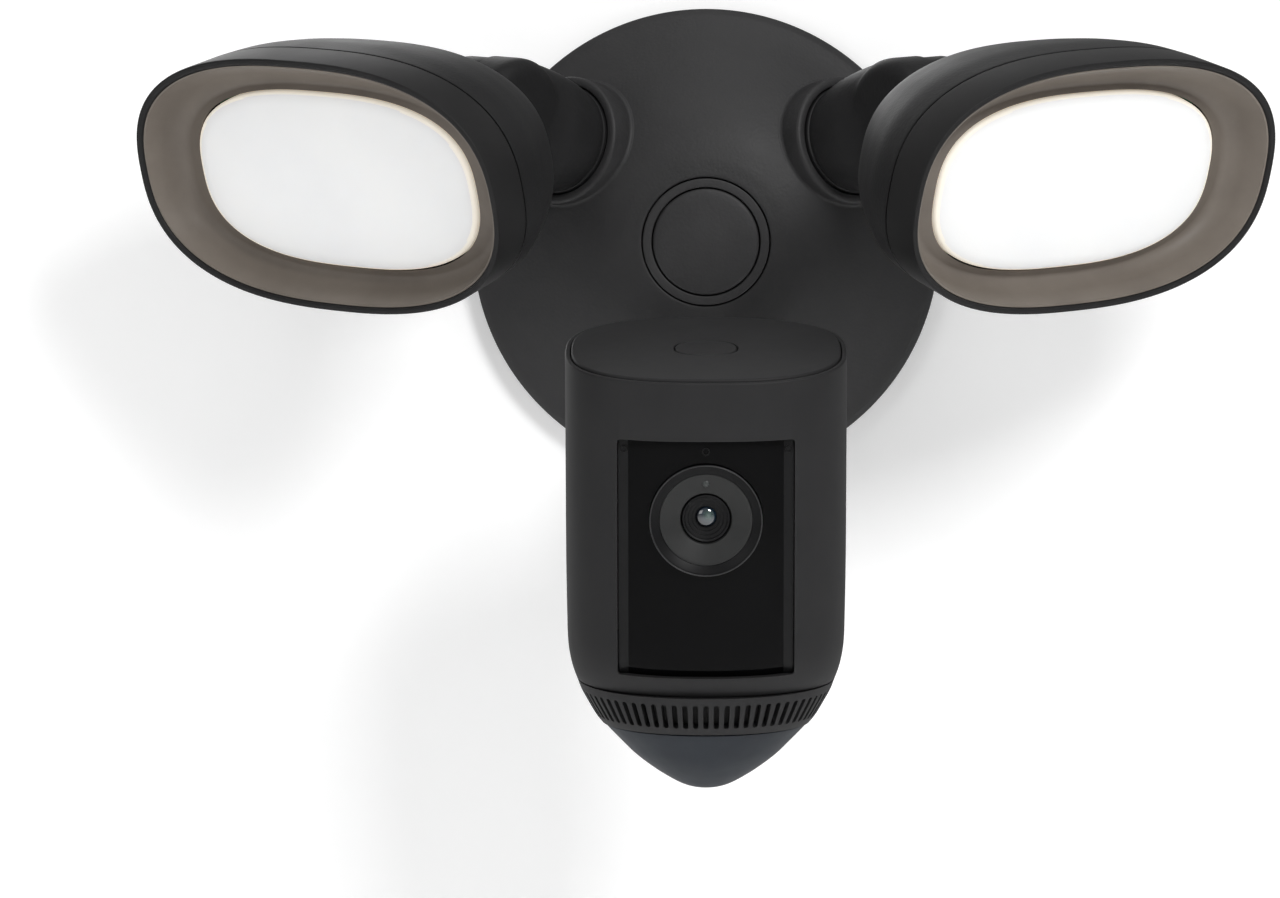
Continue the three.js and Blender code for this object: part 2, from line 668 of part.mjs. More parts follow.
function topCover() {
  const a = BODY_W - 1.5;
  const b = BODY_DEEP - 1.5;
  const plate = loft([
    topRing(0, 0, -1.2), topRing(a, b, -1.2), topRing(a, b, 0.5), topRing(a - 0.7, b - 0.7, 1),
    topRing(0, 0, 1),
  ], 36);
  const w = BUTTON_W / 2 + GAP;
  const d = BUTTON_DEEP / 2 + GAP;
  const hole = loft([
    topRing(0, 0, -5), topRing(w, d, -5, 2.4), topRing(w, d, 5, 2.4), topRing(0, 0, 5),
  ], 28);
  return solid(plate).subtract(solid(hole));
}

function setupButton() {
  const a = BUTTON_W / 2;
  const b = BUTTON_DEEP / 2;
  return solid(loft([
    topRing(0, 0, -5), topRing(2, 2, -5, 2), topRing(2, 2, -1.7, 2), topRing(a + 1.6, b + 1.6, -1.7, 2.4),
    topRing(a + 1.6, b + 1.6, -1.5, 2.4), topRing(a, b, -1.5, 2.4), topRing(a, b, 0.8, 2.4),
    topRing(a - 0.5, b - 0.5, 1.2, 2.4), topRing(0, 0, 1.3),
  ], 24));
}

function buttonBoard() {
  const board = solid(box(26, 22, 1.4, 0, 0, -9.6));
  const button = solid(box(6, 6, 3, 0, 0, -7.5));
  return join(board, button);
}

function chassis() {
  const plate = solid(box(44, 2, 56, 0, 6, -42));
  const ribs = [-20, 0, 20].map((x) => solid(box(1.8, 7, 52, x, 10.4, -42)));
  const feet = [-14, 14].map((x) => solid(box(6, 15, 3, x, 12.5, -20)));
  return join(plate, ...ribs, ...feet);
}

function mainBoard() {
  const board = solid(box(42, 1.6, 54, 0, 3.9, -43));
  const chips = [[-9, -30, 12], [9, -34, 9], [-6, -52, 14], [12, -56, 8]].map(([x, z, w]) => solid(
    box(w, 2.4, w, x, 2.1, z)));
  return join(board, ...chips);
}

// ---------------------------------------------------------------- lower end

function lowerRing(k, z, inset = 0, n = 2.15, slope = DOME_SLOPE) {
  return ring(BODY_W * k - inset, BODY_DEEP * k * 0.985 - inset, z, n, 0, slope);
}

const GRILLE_SKIN = [
  [0.921, GRILLE_TOP, SEAM_SLOPE], [0.893, -83, -0.035], [0.789, -89.4, -0.056], [0.745, GRILLE_BOTTOM, DOME_SLOPE],
];

function speakerGrille() {
  const outer = GRILLE_SKIN.map(([k, z, slope]) => lowerRing(k, z, 0, 2.15, slope));
  const inner = [3, 0].map((i) => GRILLE_SKIN[i]).map(([k, z, slope]) => lowerRing(k, z, 2.2, 2.15, slope));
  const body = solid(loft([...outer, ...inner], 36));
  const slots = [];
  const count = 33;
  for (let i = 0; i < count; i += 1) {
    const angle = ((i - (count - 1) / 2) * SLOT_PITCH) / 27.5;
    const height = -86 + 1.25 * Math.cos(angle);
    const slot = box(1.3, 10, 7.4).rotateX(0.49).translate(0, -27.5, height);
    slots.push(solid(slot.rotateZ(angle)));
  }
  return cut(body, ...slots);
}

function speaker() {
  const r = 18.4;
  return solid(turned([[0, -84], [7, -84], [8, -79], [17, -74.5], [r, -74.5], [r, -72.5], [0, -72.5]], 20));
}

const DOME_SKIN = [
  [0.729, GRILLE_BOTTOM - 0.4], [0.692, -93.1], [0.608, -96.1], [0.515, -99.3], [0.41, -102.2],
  [0.304, -104.7], [0.186, -107], [0.092, -108.1],
];

function pirDome() {
  const outer = DOME_SKIN.map(([k, z]) => lowerRing(k, z, 0, 2));
  const inner = [0, 1, 3, 5].map((i) => lowerRing(DOME_SKIN[i][0], DOME_SKIN[i][1] + 1.2, 1.6, 2));
  inner[0].z = GRILLE_BOTTOM + 3;
  const neck = lowerRing(0.66, GRILLE_BOTTOM + 2, 0, 2);
  const skirt = lowerRing(0.66, GRILLE_BOTTOM - 0.4, 0, 2);
  const top = lowerRing(0, GRILLE_BOTTOM + 2);
  const shell = solid(loft([top, neck, skirt, ...outer, ring(0, 0, DOME_TIP)], 36));
  return shell.subtract(solid(loft([ring(0, 0, inner[0].z), ...inner, ring(0, 0, -104.4)], 20)));
}

function pirBoard() {
  const board = solid(cylinder(16.5, -88.4, -86.9, 24));
  const sensor = solid(cylinder(4.6, -92.5, -88, 16));
  return join(board, sensor);
}

// ---------------------------------------------------------------- camera hinges

function cameraNeck() {
  const end = NECK_LEN;
  const stem = loft([
    ring(0, 0, 1.9), ring(10, 10, 1.9), ring(10, 10, 5), ring(8.6, 8.6, 8), ring(8, 8.4, 14),
    ring(7.6, 10.5, 22), ring(7.6, 12.4, 27), ring(7.4, 12.4, end), ring(0, 0, end),
  ], 20);
  const sleeve = turned([[0, -11.5], [8.5, -11.5], [9.5, -10.5], [9.5, 10.5], [8.5, 11.5], [0, 11.5]], 24);
  const upright = frame(NECK_END, vec(1, 0, 0), vec(0, 1, 0), vec(0, 0, 1));
  const slot = solid(box(50, 40, 12.6, 0, -PAN_D - 10.1, PAN_Z));
  const pinHole = solid(cylinder(2.7, -20, 20, 16), upright);
  const duct = solid(cylinder(3.4, -2, end - 10.5, 10), NECK);
  const screws = [-7.4, 7.4].map((x) => solid(cylinder(1.3, -2, 16, 8).translate(x, 0, 0), NECK));
  return cut(join(solid(stem, NECK), solid(sleeve, upright)), slot, pinHole, duct, ...screws);
}

function neckScrew(x) {
  const s = turned([[0, -11.1], [2.4, -11.1], [2.4, -9.3], [1.05, -9.3], [1.05, 7], [0, 7]], 16);
  return solid(s).translate([x, 0, 0]);
}

function panLink() {
  const eye = solid(cylinder(9, -6, 6, 32).translate(0, -PAN_D, PAN_Z));
  const s = new THREE.Shape();
  s.moveTo(-PAN_D, PAN_Z + 6);
  s.lineTo(-PAN_D - 12, PAN_Z + 6);
  s.lineTo(-TILT_D, TILT_Z + 7);
  s.absarc(-TILT_D, TILT_Z, 7, Math.PI / 2, 1.5 * Math.PI);
  s.lineTo(-PAN_D - 12, PAN_Z - 6);
  s.lineTo(-PAN_D, PAN_Z - 6);
  s.closePath();
  const g = new THREE.ExtrudeGeometry(s, { depth: 17.4, bevelEnabled: false, curveSegments: 12 });
  g.translate(0, 0, -8.7);
  const web = solid(g, frame(vec(0, 0, 0), vec(0, 1, 0), vec(0, 0, 1), vec(1, 0, 0)));
  const panHole = solid(cylinder(2.75, -20, 20, 20).translate(0, -PAN_D, PAN_Z));
  const tiltHole = solid(cylinder(2.65, -20, 20, 20), tiltFrame());
  return cut(join(eye, web), panHole, tiltHole);
}

function tiltFrame() {
  return frame(vec(0, -TILT_D, TILT_Z), vec(0, 1, 0), vec(0, 0, 1), vec(1, 0, 0));
}

function panPin() {
  const pin = turned([[0, -12.4], [4.2, -12.4], [4.2, -11.8], [2.5, -11.8], [2.5, 12.4], [0, 12.4]], 24);
  return solid(pin, frame(NECK_END, vec(1, 0, 0), vec(0, 1, 0), vec(0, 0, 1)));
}

function tiltPin() {
  const r = 2.4;
  return solid(turned([[0, -14.6], [4, -14.6], [4, -13.4], [r, -13.4], [r, 14.4], [0, 14.4]], 20), tiltFrame());
}

function rearBracket() {
  const inBody = BODY.clone().invert();
  const pin = vec(0, -TILT_D, TILT_Z).applyMatrix4(inBody);
  const lugs = [-1, 1].map((side) => {
    const s = new THREE.Shape();
    s.moveTo(28, pin.z - 10);
    s.lineTo(pin.y, pin.z - 7);
    s.absarc(pin.y, pin.z, 7, -Math.PI / 2, Math.PI / 2);
    s.lineTo(28, pin.z + 10);
    s.closePath();
    const g = new THREE.ExtrudeGeometry(s, { depth: 4, bevelEnabled: false, curveSegments: 12 });
    g.translate(0, 0, side > 0 ? 9.1 : -13.1);
    return solid(g, frame(vec(0, 0, 0), vec(0, 1, 0), vec(0, 0, 1), vec(1, 0, 0)));
  });
  const plate = solid(roundedPlate(30, 30, 4, 28, BODY_DEEP + 2.6, 0, pin.z));
  const across = frame(vec(0, pin.y, pin.z), vec(0, 1, 0), vec(0, 0, 1), vec(1, 0, 0));
  const hole = solid(cylinder(2.5, -20, 20, 20), across);
  const relief = solid(box(17.9, 6, 16, 0, BODY_DEEP + 4, pin.z));
  return cut(join(plate, ...lugs), bodySolid(-GAP, 8, 8), hole, relief);
}

// ---------------------------------------------------------------- the object

function buildBase() {
  part('wall_gasket', wallGasket(), RUBBER);
  part('base_housing', baseHousing(), PAINT);
  part('wall_bracket', wallBracket(), STEEL);
  const out = (x, d) => frame(vec(x, -d, 0), vec(1, 0, 0), vec(0, 0, 1), vec(0, -1, 0));
  part('bracket_screw_left', screw(4, 2.4, 1.9, 3.5), STEEL, out(-BRACKET_SCREW_X, 3.7));
  part('bracket_screw_right', screw(4, 2.4, 1.9, 3.5), STEEL, out(BRACKET_SCREW_X, 3.7));
  part('centre_bolt', centreBolt(), STEEL, out(0, CAP_SEAT_D + 0.3));
  part('cap_ring', capRing(), MATTE);
  part('centre_cap', centreCap(), PAINT);
  part('power_board', powerBoard(), BOARD);
  part('terminal_block', terminalBlock(), OPAL);
  part('left_retainer', retainer(), STEEL, LEFT.arm);
  part('right_retainer', retainer(), STEEL, RIGHT.arm);
}

function buildSide(side, frames) {
  part(`${side}_swivel_arm`, swivelArm(frames.s), PAINT, frames.arm);
  part(`${side}_pivot_pin`, pivotPin(), STEEL, frames.arm);
  part(`${side}_rear_shell`, rearShell(frames.s), PAINT, frames.rim);
  part(`${side}_bezel`, bezel(), MATTE, frames.rim);
  part(`${side}_head_gasket`, headGasket(), RUBBER, frames.rim);
  part(`${side}_reflector`, reflector(), GREY, frames.rim);
  part(`${side}_diffuser`, diffuser(), OPAL, frames.rim);
  part(`${side}_led_board`, ledBoard(), BOARD, frames.rim);
  part(`${side}_heat_sink`, heatSink(), ALUMINIUM, frames.rim);
}

function buildCamera() {
  part('camera_neck', cameraNeck(), PAINT);
  part('neck_screw_left', neckScrew(-7.4), STEEL, NECK);
  part('neck_screw_right', neckScrew(7.4), STEEL, NECK);
  part('pan_link', panLink(), PAINT);
  part('pan_pin', panPin(), STEEL);
  part('tilt_pin', tiltPin(), STEEL);
  part('rear_bracket', rearBracket(), PAINT, BODY);
  part('body_shell', bodyShell(), PAINT, BODY);
  part('top_cover', topCover(), MATTE, BODY);
  part('setup_button', setupButton(), PAINT, BODY);
  part('button_board', buttonBoard(), BOARD, BODY);
  part('window', windowPanel(), GLOSS, BODY);
  part('lens_ring', lensRingPart(), STEEL, BODY);
  part('lens_cone', lensCone(), GREY, BODY);
  part('lens_barrel', lensBarrel(), MATTE, BODY);
  part('lens_glass', lensGlass(), GLOSS, BODY);
  part('sensor_board', sensorBoard(), BOARD, BODY);
  part('status_led', statusLed(), OPAL, BODY);
  part('chassis', chassis(), ALUMINIUM, BODY);
  part('main_board', mainBoard(), BOARD, BODY);
  part('speaker_grille', speakerGrille(), MATTE, BODY);
  part('speaker', speaker(), MATTE, BODY);
  part('pir_dome', pirDome(), GLOSS, BODY);
  part('pir_board', pirBoard(), BOARD, BODY);
}

buildBase();
buildSide('left', LEFT);
buildSide('right', RIGHT);
buildCamera();

export default object;
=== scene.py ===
"""Looks of the floodlight security camera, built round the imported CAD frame."""

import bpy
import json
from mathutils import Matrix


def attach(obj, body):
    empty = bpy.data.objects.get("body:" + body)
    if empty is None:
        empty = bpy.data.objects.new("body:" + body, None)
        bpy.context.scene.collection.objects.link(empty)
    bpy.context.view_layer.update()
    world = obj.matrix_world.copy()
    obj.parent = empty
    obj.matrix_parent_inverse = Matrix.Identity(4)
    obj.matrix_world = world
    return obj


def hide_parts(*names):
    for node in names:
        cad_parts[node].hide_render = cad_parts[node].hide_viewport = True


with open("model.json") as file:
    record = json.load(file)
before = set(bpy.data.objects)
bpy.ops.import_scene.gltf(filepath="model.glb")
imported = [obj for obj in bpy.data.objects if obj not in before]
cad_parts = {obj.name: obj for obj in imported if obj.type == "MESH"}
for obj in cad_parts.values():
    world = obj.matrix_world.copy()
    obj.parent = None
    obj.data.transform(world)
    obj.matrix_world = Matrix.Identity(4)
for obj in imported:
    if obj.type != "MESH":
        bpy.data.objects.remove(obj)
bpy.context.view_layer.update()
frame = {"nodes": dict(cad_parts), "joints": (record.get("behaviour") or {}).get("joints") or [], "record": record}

import json
import math

import bmesh
import bpy
import numpy as np
from mathutils import Matrix, Vector

MM = 0.001
TAU = 2 * math.pi

# ------------------------------------------------------------------ frames

JOINT = {j["name"]: j for j in frame["joints"]}
HEAD_TILT = math.radians(21.8)
HEAD_SKEW = math.radians(10.6)
HEAD_REACH = 72.3
HEAD_DROP = -4.6
PIVOT_L = 28.6


def axis_of(name):
    return Vector(JOINT[name]["axis"]).normalized()


def place_of(name):
    return Vector(JOINT[name]["pos_m"])


def basis(origin, x, y, z):
    """Frame at origin, in metres, as a matrix."""
    m = Matrix((x, y, z)).transposed().to_4x4()
    m.translation = origin
    return m


def side_frames(side):
    """The arm's and the rim's frames, from the hinges of that side."""
    a = axis_of(side + "_swivel")
    if side == "right":
        a = -a
    u = axis_of(side + "_tilt")
    pivot = place_of(side + "_tilt")
    v1 = a.cross(u)
    h = math.cos(HEAD_TILT) * a - math.sin(HEAD_TILT) * v1
    v = math.cos(HEAD_TILT) * v1 + math.sin(HEAD_TILT) * a
    n = math.cos(HEAD_SKEW) * h - math.sin(HEAD_SKEW) * v
    vr = math.cos(HEAD_SKEW) * v + math.sin(HEAD_SKEW) * h
    rim = pivot + h * HEAD_REACH * MM + v * HEAD_DROP * MM
    return basis(place_of(side + "_swivel"), u, v1, a), basis(rim, u, vr, n), pivot


ARM, RIM, PIVOT = {}, {}, {}
for SIDE in ("left", "right"):
    ARM[SIDE], RIM[SIDE], PIVOT[SIDE] = side_frames(SIDE)

BODY_UP = -axis_of("setup_press")
BODY_X = Vector((1, 0, 0))
BODY = basis(Vector((0, -0.118, -0.0272)), BODY_X, BODY_UP.cross(BODY_X), BODY_UP)
FRONT = basis(Vector((0, 0, 0)), Vector((1, 0, 0)), Vector((0, 0, 1)), Vector((0, -1, 0)))
BASE = FRONT
LENS_Z = -35.4
LENS = BODY @ basis(Vector((0, 0, LENS_Z * MM)), Vector((1, 0, 0)), Vector((0, 0, 1)), Vector((0, -1, 0)))

# ------------------------------------------------------------------ mesh tools


def ring(a, b, z, n=2.0, shift=0.0, slope=0.0):
    """Superellipse section in mm: half widths, height, exponent, shift in y, slope of z over y."""
    return [a, b, z, n, shift, slope]


def turned(pairs):
    return [ring(r, r, z) for r, z in pairs]


def flow(rows, steps=6):
    """Rings joined by one smooth curve through all of them."""
    p = np.array(rows, float)
    gap = np.hypot(np.diff(p[:, 0]), np.diff(p[:, 2])) ** 0.5
    t = np.concatenate([[0], np.cumsum(np.maximum(gap, 1e-6))])
    m = np.zeros_like(p)
    m[1:-1] = (p[2:] - p[:-2]) / (t[2:] - t[:-2])[:, None]
    m[0] = (p[1] - p[0]) / (t[1] - t[0])
    m[-1] = (p[-1] - p[-2]) / (t[-1] - t[-2])
    out = []
    for i in range(len(p) - 1):
        h = t[i + 1] - t[i]
        for k in range(steps):
            s = k / steps
            out.append((2 * s**3 - 3 * s**2 + 1) * p[i] + (s**3 - 2 * s**2 + s) * h * m[i]
                       + (-2 * s**3 + 3 * s**2) * p[i + 1] + (s**3 - s**2) * h * m[i + 1])
    out.append(p[-1])
    out = np.array(out)
    out[:, :2] = np.maximum(out[:, :2], 0)
    return out.tolist()


def soften(rows, radii, steps=4, closed=False):
    """Rings with each corner rounded by its radius (one number for all, or one for each ring)."""
    p = np.array(rows, float)
    count = len(p)
    radii = [radii] * count if np.isscalar(radii) else list(radii)
    out = []
    for i in range(count):
        if (not closed and i in (0, count - 1)) or radii[i] <= 0:
            out.append(p[i])
            continue
        back, ahead = p[i - 1], p[(i + 1) % count]
        d0 = math.hypot(*(back - p[i])[[0, 2]]) or 1e-6
        d1 = math.hypot(*(ahead - p[i])[[0, 2]]) or 1e-6
        start = p[i] + (back - p[i]) * min(radii[i] / d0, 0.48)
        end = p[i] + (ahead - p[i]) * min(radii[i] / d1, 0.48)
        for k in range(steps + 1):
            s = k / steps
            out.append((1 - s) ** 2 * start + 2 * s * (1 - s) * p[i] + s * s * end)
    return np.array(out).tolist()


def even_angles(row, count):
    """Angles that space points evenly round a section."""
    t = np.linspace(0, TAU, 4001)
    x = row[0] * np.sign(np.cos(t)) * np.abs(np.cos(t)) ** (2 / row[3])
    y = row[1] * np.sign(np.sin(t)) * np.abs(np.sin(t)) ** (2 / row[3])
    length = np.concatenate([[0], np.cumsum(np.hypot(np.diff(x), np.diff(y)))])
    return np.interp(np.linspace(0, length[-1], count, endpoint=False), length, t)


def new_object(name, verts, faces, sharp=32):
    mesh = bpy.data.meshes.new(name)
    mesh.from_pydata([tuple(v) for v in verts], [], faces)
    mesh.validate()
    obj = bpy.data.objects.new(name, mesh)
    bpy.context.scene.collection.objects.link(obj)
    tidy_mesh(mesh, sharp)
    return obj


def tidy_mesh(mesh, sharp=32):
    """Faces outwards, smooth shading, sharp where the surface really turns."""
    bm = bmesh.new()
    bm.from_mesh(mesh)
    bmesh.ops.remove_doubles(bm, verts=bm.verts, dist=1e-7)
    bmesh.ops.recalc_face_normals(bm, faces=bm.faces)
    bm.to_mesh(mesh)
    bm.free()
    mesh.shade_smooth()
    mesh.set_sharp_from_angle(angle=math.radians(sharp))


def loft(name, rows, matrix, segments=144, closed=False, sharp=32):
    """Skin through rings; it closes on the axis or, when closed, on its first ring."""
    rows = [list(map(float, r)) for r in rows]
    widest = max(rows, key=lambda r: r[0])
    t = even_angles(widest, segments)
    c, s = np.cos(t), np.sin(t)
    verts, start = [], []
    for a, b, z, n, shift, slope in rows:
        start.append(len(verts))
        if a <= 1e-9:
            verts.append((0, shift, z))
            continue
        x = a * np.sign(c) * np.abs(c) ** (2 / n)
        y = b * np.sign(s) * np.abs(s) ** (2 / n)
        verts.extend(zip(x, y + shift, z + slope * y))
    faces = []
    pairs = [(i, i + 1) for i in range(len(rows) - 1)]
    if closed:
        pairs.append((len(rows) - 1, 0))
    for i, j in pairs:
        point_i, point_j = rows[i][0] <= 1e-9, rows[j][0] <= 1e-9
        for k in range(segments):
            m = (k + 1) % segments
            if point_i and point_j:
                continue
            if point_i:
                faces.append((start[i], start[j] + m, start[j] + k))
            elif point_j:
                faces.append((start[i] + k, start[i] + m, start[j]))
            else:
                faces.append((start[i] + k, start[i] + m, start[j] + m, start[j] + k))
    world = [matrix @ (Vector(v) * MM) for v in verts]
    return new_object(name, world, faces, sharp)


def prism(name, outline, low, high, matrix):
    """Prism over an outline in mm, between two heights of the frame."""
    count = len(outline)
    verts = [matrix @ (Vector((x, y, z)) * MM) for z in (low, high) for x, y in outline]
    faces = [tuple(range(count))[::-1], tuple(range(count, 2 * count))]
    faces += [(k, (k + 1) % count, count + (k + 1) % count, count + k) for k in range(count)]
    return new_object(name, verts, faces)


def rounded_outline(w, h, r, steps=8, x0=0.0, y0=0.0):
    points = []
    for cx, cy, begin in ((w / 2 - r, h / 2 - r, 0), (-w / 2 + r, h / 2 - r, 1),
                          (-w / 2 + r, -h / 2 + r, 2), (w / 2 - r, -h / 2 + r, 3)):
        for k in range(steps + 1):
            angle = (begin + k / steps) * math.pi / 2
            points.append((x0 + cx + r * math.cos(angle), y0 + cy + r * math.sin(angle)))
    return points


def merge(name, *objs):
    """One object from several."""
    bm = bmesh.new()
    for o in objs:
        bm.from_mesh(o.data)
    mesh = bpy.data.meshes.new(name)
    bm.to_mesh(mesh)
    bm.free()
    for o in objs:
        bpy.data.objects.remove(o)
    obj = bpy.data.objects.new(name, mesh)
    bpy.context.scene.collection.objects.link(obj)
    return obj


def settle(obj, sharp=32):
    """Puts the modifiers of an object into its mesh."""
    bpy.context.view_layer.update()
    graph = bpy.context.evaluated_depsgraph_get()
    mesh = bpy.data.meshes.new_from_object(obj.evaluated_get(graph))
    obj.modifiers.clear()
    obj.data = mesh
    tidy_mesh(mesh, sharp)
    return obj


def boolean(obj, tool, operation="DIFFERENCE", sharp=32):
    m = obj.modifiers.new("cut", "BOOLEAN")
    m.operation = operation
    m.solver = "EXACT"
    m.object = tool
    settle(obj, sharp)
    bpy.data.objects.remove(tool)
    return obj


def bevel(obj, width, angle=40, segments=3, sharp=32):
    m = obj.modifiers.new("edge", "BEVEL")
    m.width = width * MM
    m.segments = segments
    m.limit_method = "ANGLE"
    m.angle_limit = math.radians(angle)
    m.harden_normals = False
    return settle(obj, sharp)


def polished(node, width=0.3, angle=38):
    """A finer copy of a plain CAD piece: soft edges and smooth rounds."""
    source = frame["nodes"][node]
    mesh = source.data.copy()
    mesh.materials.clear()
    bm = bmesh.new()
    bm.from_mesh(mesh)
    bmesh.ops.remove_doubles(bm, verts=bm.verts, dist=2e-6)
    bmesh.ops.dissolve_limit(bm, angle_limit=math.radians(1.2), verts=bm.verts, edges=bm.edges)
    bm.to_mesh(mesh)
    bm.free()
    obj = bpy.data.objects.new(node + "_fine", mesh)
    bpy.context.scene.collection.objects.link(obj)
    if width > 0:
        bevel(obj, width, angle, 2, 30)
    else:
        tidy_mesh(mesh, 30)
    return obj


# ------------------------------------------------------------------ materials


class Look:
    """Small builder of node materials."""

    def __init__(self, name):
        self.material = bpy.data.materials.new(name)
        self.material.use_nodes = True
        self.nodes = self.material.node_tree.nodes
        self.links = self.material.node_tree.links
        self.shader = self.nodes["Principled BSDF"]
        self.place = self.nodes.new("ShaderNodeTexCoord").outputs["Object"]
        self.height = None

    def set(self, **values):
        for key, value in values.items():
            self.shader.inputs[key.replace("_", " ")].default_value = value
        return self

    def noise(self, scale, detail=4.0, rough=0.5):
        n = self.nodes.new("ShaderNodeTexNoise")
        n.inputs["Scale"].default_value = scale
        n.inputs["Detail"].default_value = detail
        n.inputs["Roughness"].default_value = rough
        self.links.new(self.place, n.inputs["Vector"])
        return n.outputs["Fac"]

    def cells(self, scale, feature="SMOOTH_F1", smooth=0.6):
        n = self.nodes.new("ShaderNodeTexVoronoi")
        n.feature = feature
        n.inputs["Scale"].default_value = scale
        if feature == "SMOOTH_F1":
            n.inputs["Smoothness"].default_value = smooth
        self.links.new(self.place, n.inputs["Vector"])
        return n.outputs["Distance"]

    def math(self, operation, a, b=0.0):
        n = self.nodes.new("ShaderNodeMath")
        n.operation = operation
        for socket, value in zip(n.inputs, (a, b)):
            if isinstance(value, (int, float)):
                socket.default_value = value
            else:
                self.links.new(value, socket)
        return n.outputs[0]

    def ramp(self, value, stops):
        n = self.nodes.new("ShaderNodeValToRGB")
        points = n.color_ramp.elements
        while len(points) < len(stops):
            points.new(0.5)
        for point, (at, colour) in zip(points, stops):
            point.position = at
            point.color = (*colour, 1)
        self.links.new(value, n.inputs["Fac"])
        return n.outputs["Color"]

    def map(self, value, low, high, to_low, to_high):
        n = self.nodes.new("ShaderNodeMapRange")
        for key, number in (("From Min", low), ("From Max", high), ("To Min", to_low), ("To Max", to_high)):
            n.inputs[key].default_value = number
        self.links.new(value, n.inputs["Value"])
        return n.outputs["Result"]

    def drive(self, socket, output):
        self.links.new(output, self.shader.inputs[socket])
        return self

    def bump(self, height, distance, strength=1.0):
        n = self.nodes.new("ShaderNodeBump")
        n.inputs["Distance"].default_value = distance
        n.inputs["Strength"].default_value = strength
        self.links.new(height, n.inputs["Height"])
        if self.height is not None:
            self.links.new(self.height, n.inputs["Normal"])
        self.height = n.outputs["Normal"]
        self.links.new(self.height, self.shader.inputs["Normal"])
        return self


def two_tone(look, dark, light, scale=60, detail=5):
    tone = look.noise(scale, detail, 0.6)
    look.drive("Base Color", look.ramp(tone, [(0.3, dark), (0.7, light)]))
    return tone


def grained(name, dark, light, rough, grain, depth, metallic=0.0, spec=0.5, cells=None):
    """Moulded or coated surface: fine grain, faint colour drift and uneven gloss."""
    look = Look(name)
    tone = two_tone(look, dark, light)
    look.set(Metallic=metallic)
    look.shader.inputs["Specular IOR Level"].default_value = spec
    handled = look.noise(28, 6, 0.65)
    look.drive("Roughness", look.map(look.math("ADD", tone, handled), 0.6, 1.4, rough - 0.05, rough + 0.07))
    fine = look.noise(grain, 3, 0.6)
    look.bump(fine, depth * MM, 0.8)
    if cells:
        look.bump(look.cells(cells[0]), cells[1] * MM, 0.7)
    return look.material


def metal(name, dark, light, rough, brushed=0.0, scale=400):
    look = Look(name)
    tone = two_tone(look, dark, light, 120)
    look.set(Metallic=1.0)
    look.drive("Roughness", look.map(tone, 0.3, 0.7, rough - 0.06, rough + 0.1))
    look.bump(look.noise(scale, 6, 0.7), (0.01 + brushed) * MM, 0.7)
    return look.material


def opal(name, dark, light, glow, strength):
    """Diffusing lens: milky, faintly prismatic, with a satin skin that passes some light on."""
    look = Look(name)
    tone = look.noise(18, 3)
    look.drive("Base Color", look.ramp(tone, [(0.35, dark), (0.65, light)]))
    look.drive("Roughness", look.map(look.noise(90, 4), 0.3, 0.7, 0.34, 0.46))
    look.shader.inputs["Subsurface Weight"].default_value = 0.3
    look.shader.inputs["Subsurface Radius"].default_value = (1.0, 0.9, 0.8)
    look.shader.inputs["Subsurface Scale"].default_value = 0.003
    look.shader.inputs["Specular IOR Level"].default_value = 0.35
    look.shader.inputs["Emission Color"].default_value = (*glow, 1)
    look.shader.inputs["Emission Strength"].default_value = strength
    look.bump(look.cells(1400, "SMOOTH_F1", 0.4), 0.02 * MM, 0.5)
    return look.material


def gloss(name, dark, light, rough=0.05, coat=1.0, spec=0.5):
    look = Look(name)
    two_tone(look, dark, light, 40)
    look.drive("Roughness", look.map(look.noise(35, 6, 0.7), 0.35, 0.75, rough, rough + 0.05))
    look.shader.inputs["Specular IOR Level"].default_value = spec
    look.shader.inputs["Coat Weight"].default_value = coat
    look.shader.inputs["Coat Roughness"].default_value = 0.04
    look.bump(look.noise(300, 2), 0.002 * MM, 0.5)
    return look.material


def dome_look(name):
    """Dark infrared dome: blue grey and slightly milky, satin skin."""
    look = Look(name)
    two_tone(look, (0.0125, 0.0160, 0.0220), (0.0160, 0.0205, 0.0275), 70, 3)
    look.drive("Roughness", look.map(look.noise(240, 4), 0.3, 0.7, 0.50, 0.56))
    look.shader.inputs["Subsurface Weight"].default_value = 0.2
    look.shader.inputs["Subsurface Radius"].default_value = (0.6, 0.8, 1.0)
    look.shader.inputs["Subsurface Scale"].default_value = 0.002
    look.shader.inputs["Specular IOR Level"].default_value = 0.22
    look.bump(look.noise(1800, 2), 0.004 * MM, 0.6)
    return look.material


def painted_sheen_glass_look(name):
    """Coated front glass: black with a green to blue tint, partly the coating's own and partly a painted
    reflection, and a painted highlight just up and right of its middle that falls off outwards.
    """
    look = Look(name)
    sheen_distance = look.nodes.new("ShaderNodeVectorMath")
    sheen_distance.operation = "DISTANCE"
    look.links.new(look.place, sheen_distance.inputs[0])
    # The painted highlight centres a little up and right of the lens middle.
    sheen_distance.inputs[1].default_value = tuple(LENS @ Vector((0.0006, 0.0006, 0.0285)))
    far = look.map(sheen_distance.outputs["Value"], 0.0, 0.0032, 0.0, 1.0)
    # Colour by distance from that spot: painted highlight near it, a painted green to blue reflection further out,
    # black at the rim.
    look.drive("Base Color", look.ramp(far, [
        (0.0, (0.10, 0.14, 0.13)), (0.25, (0.02, 0.05, 0.045)), (0.5, (0.006, 0.016, 0.028)),
        (0.8, (0.004, 0.006, 0.010)), (1.0, (0.002, 0.002, 0.003))]))
    look.set(Roughness=0.03)
    look.shader.inputs["Coat Weight"].default_value = 1.0
    look.shader.inputs["Coat Roughness"].default_value = 0.01
    look.shader.inputs["Coat IOR"].default_value = 1.8
    look.bump(look.noise(200, 1), 0.001 * MM, 0.3)
    return look.material


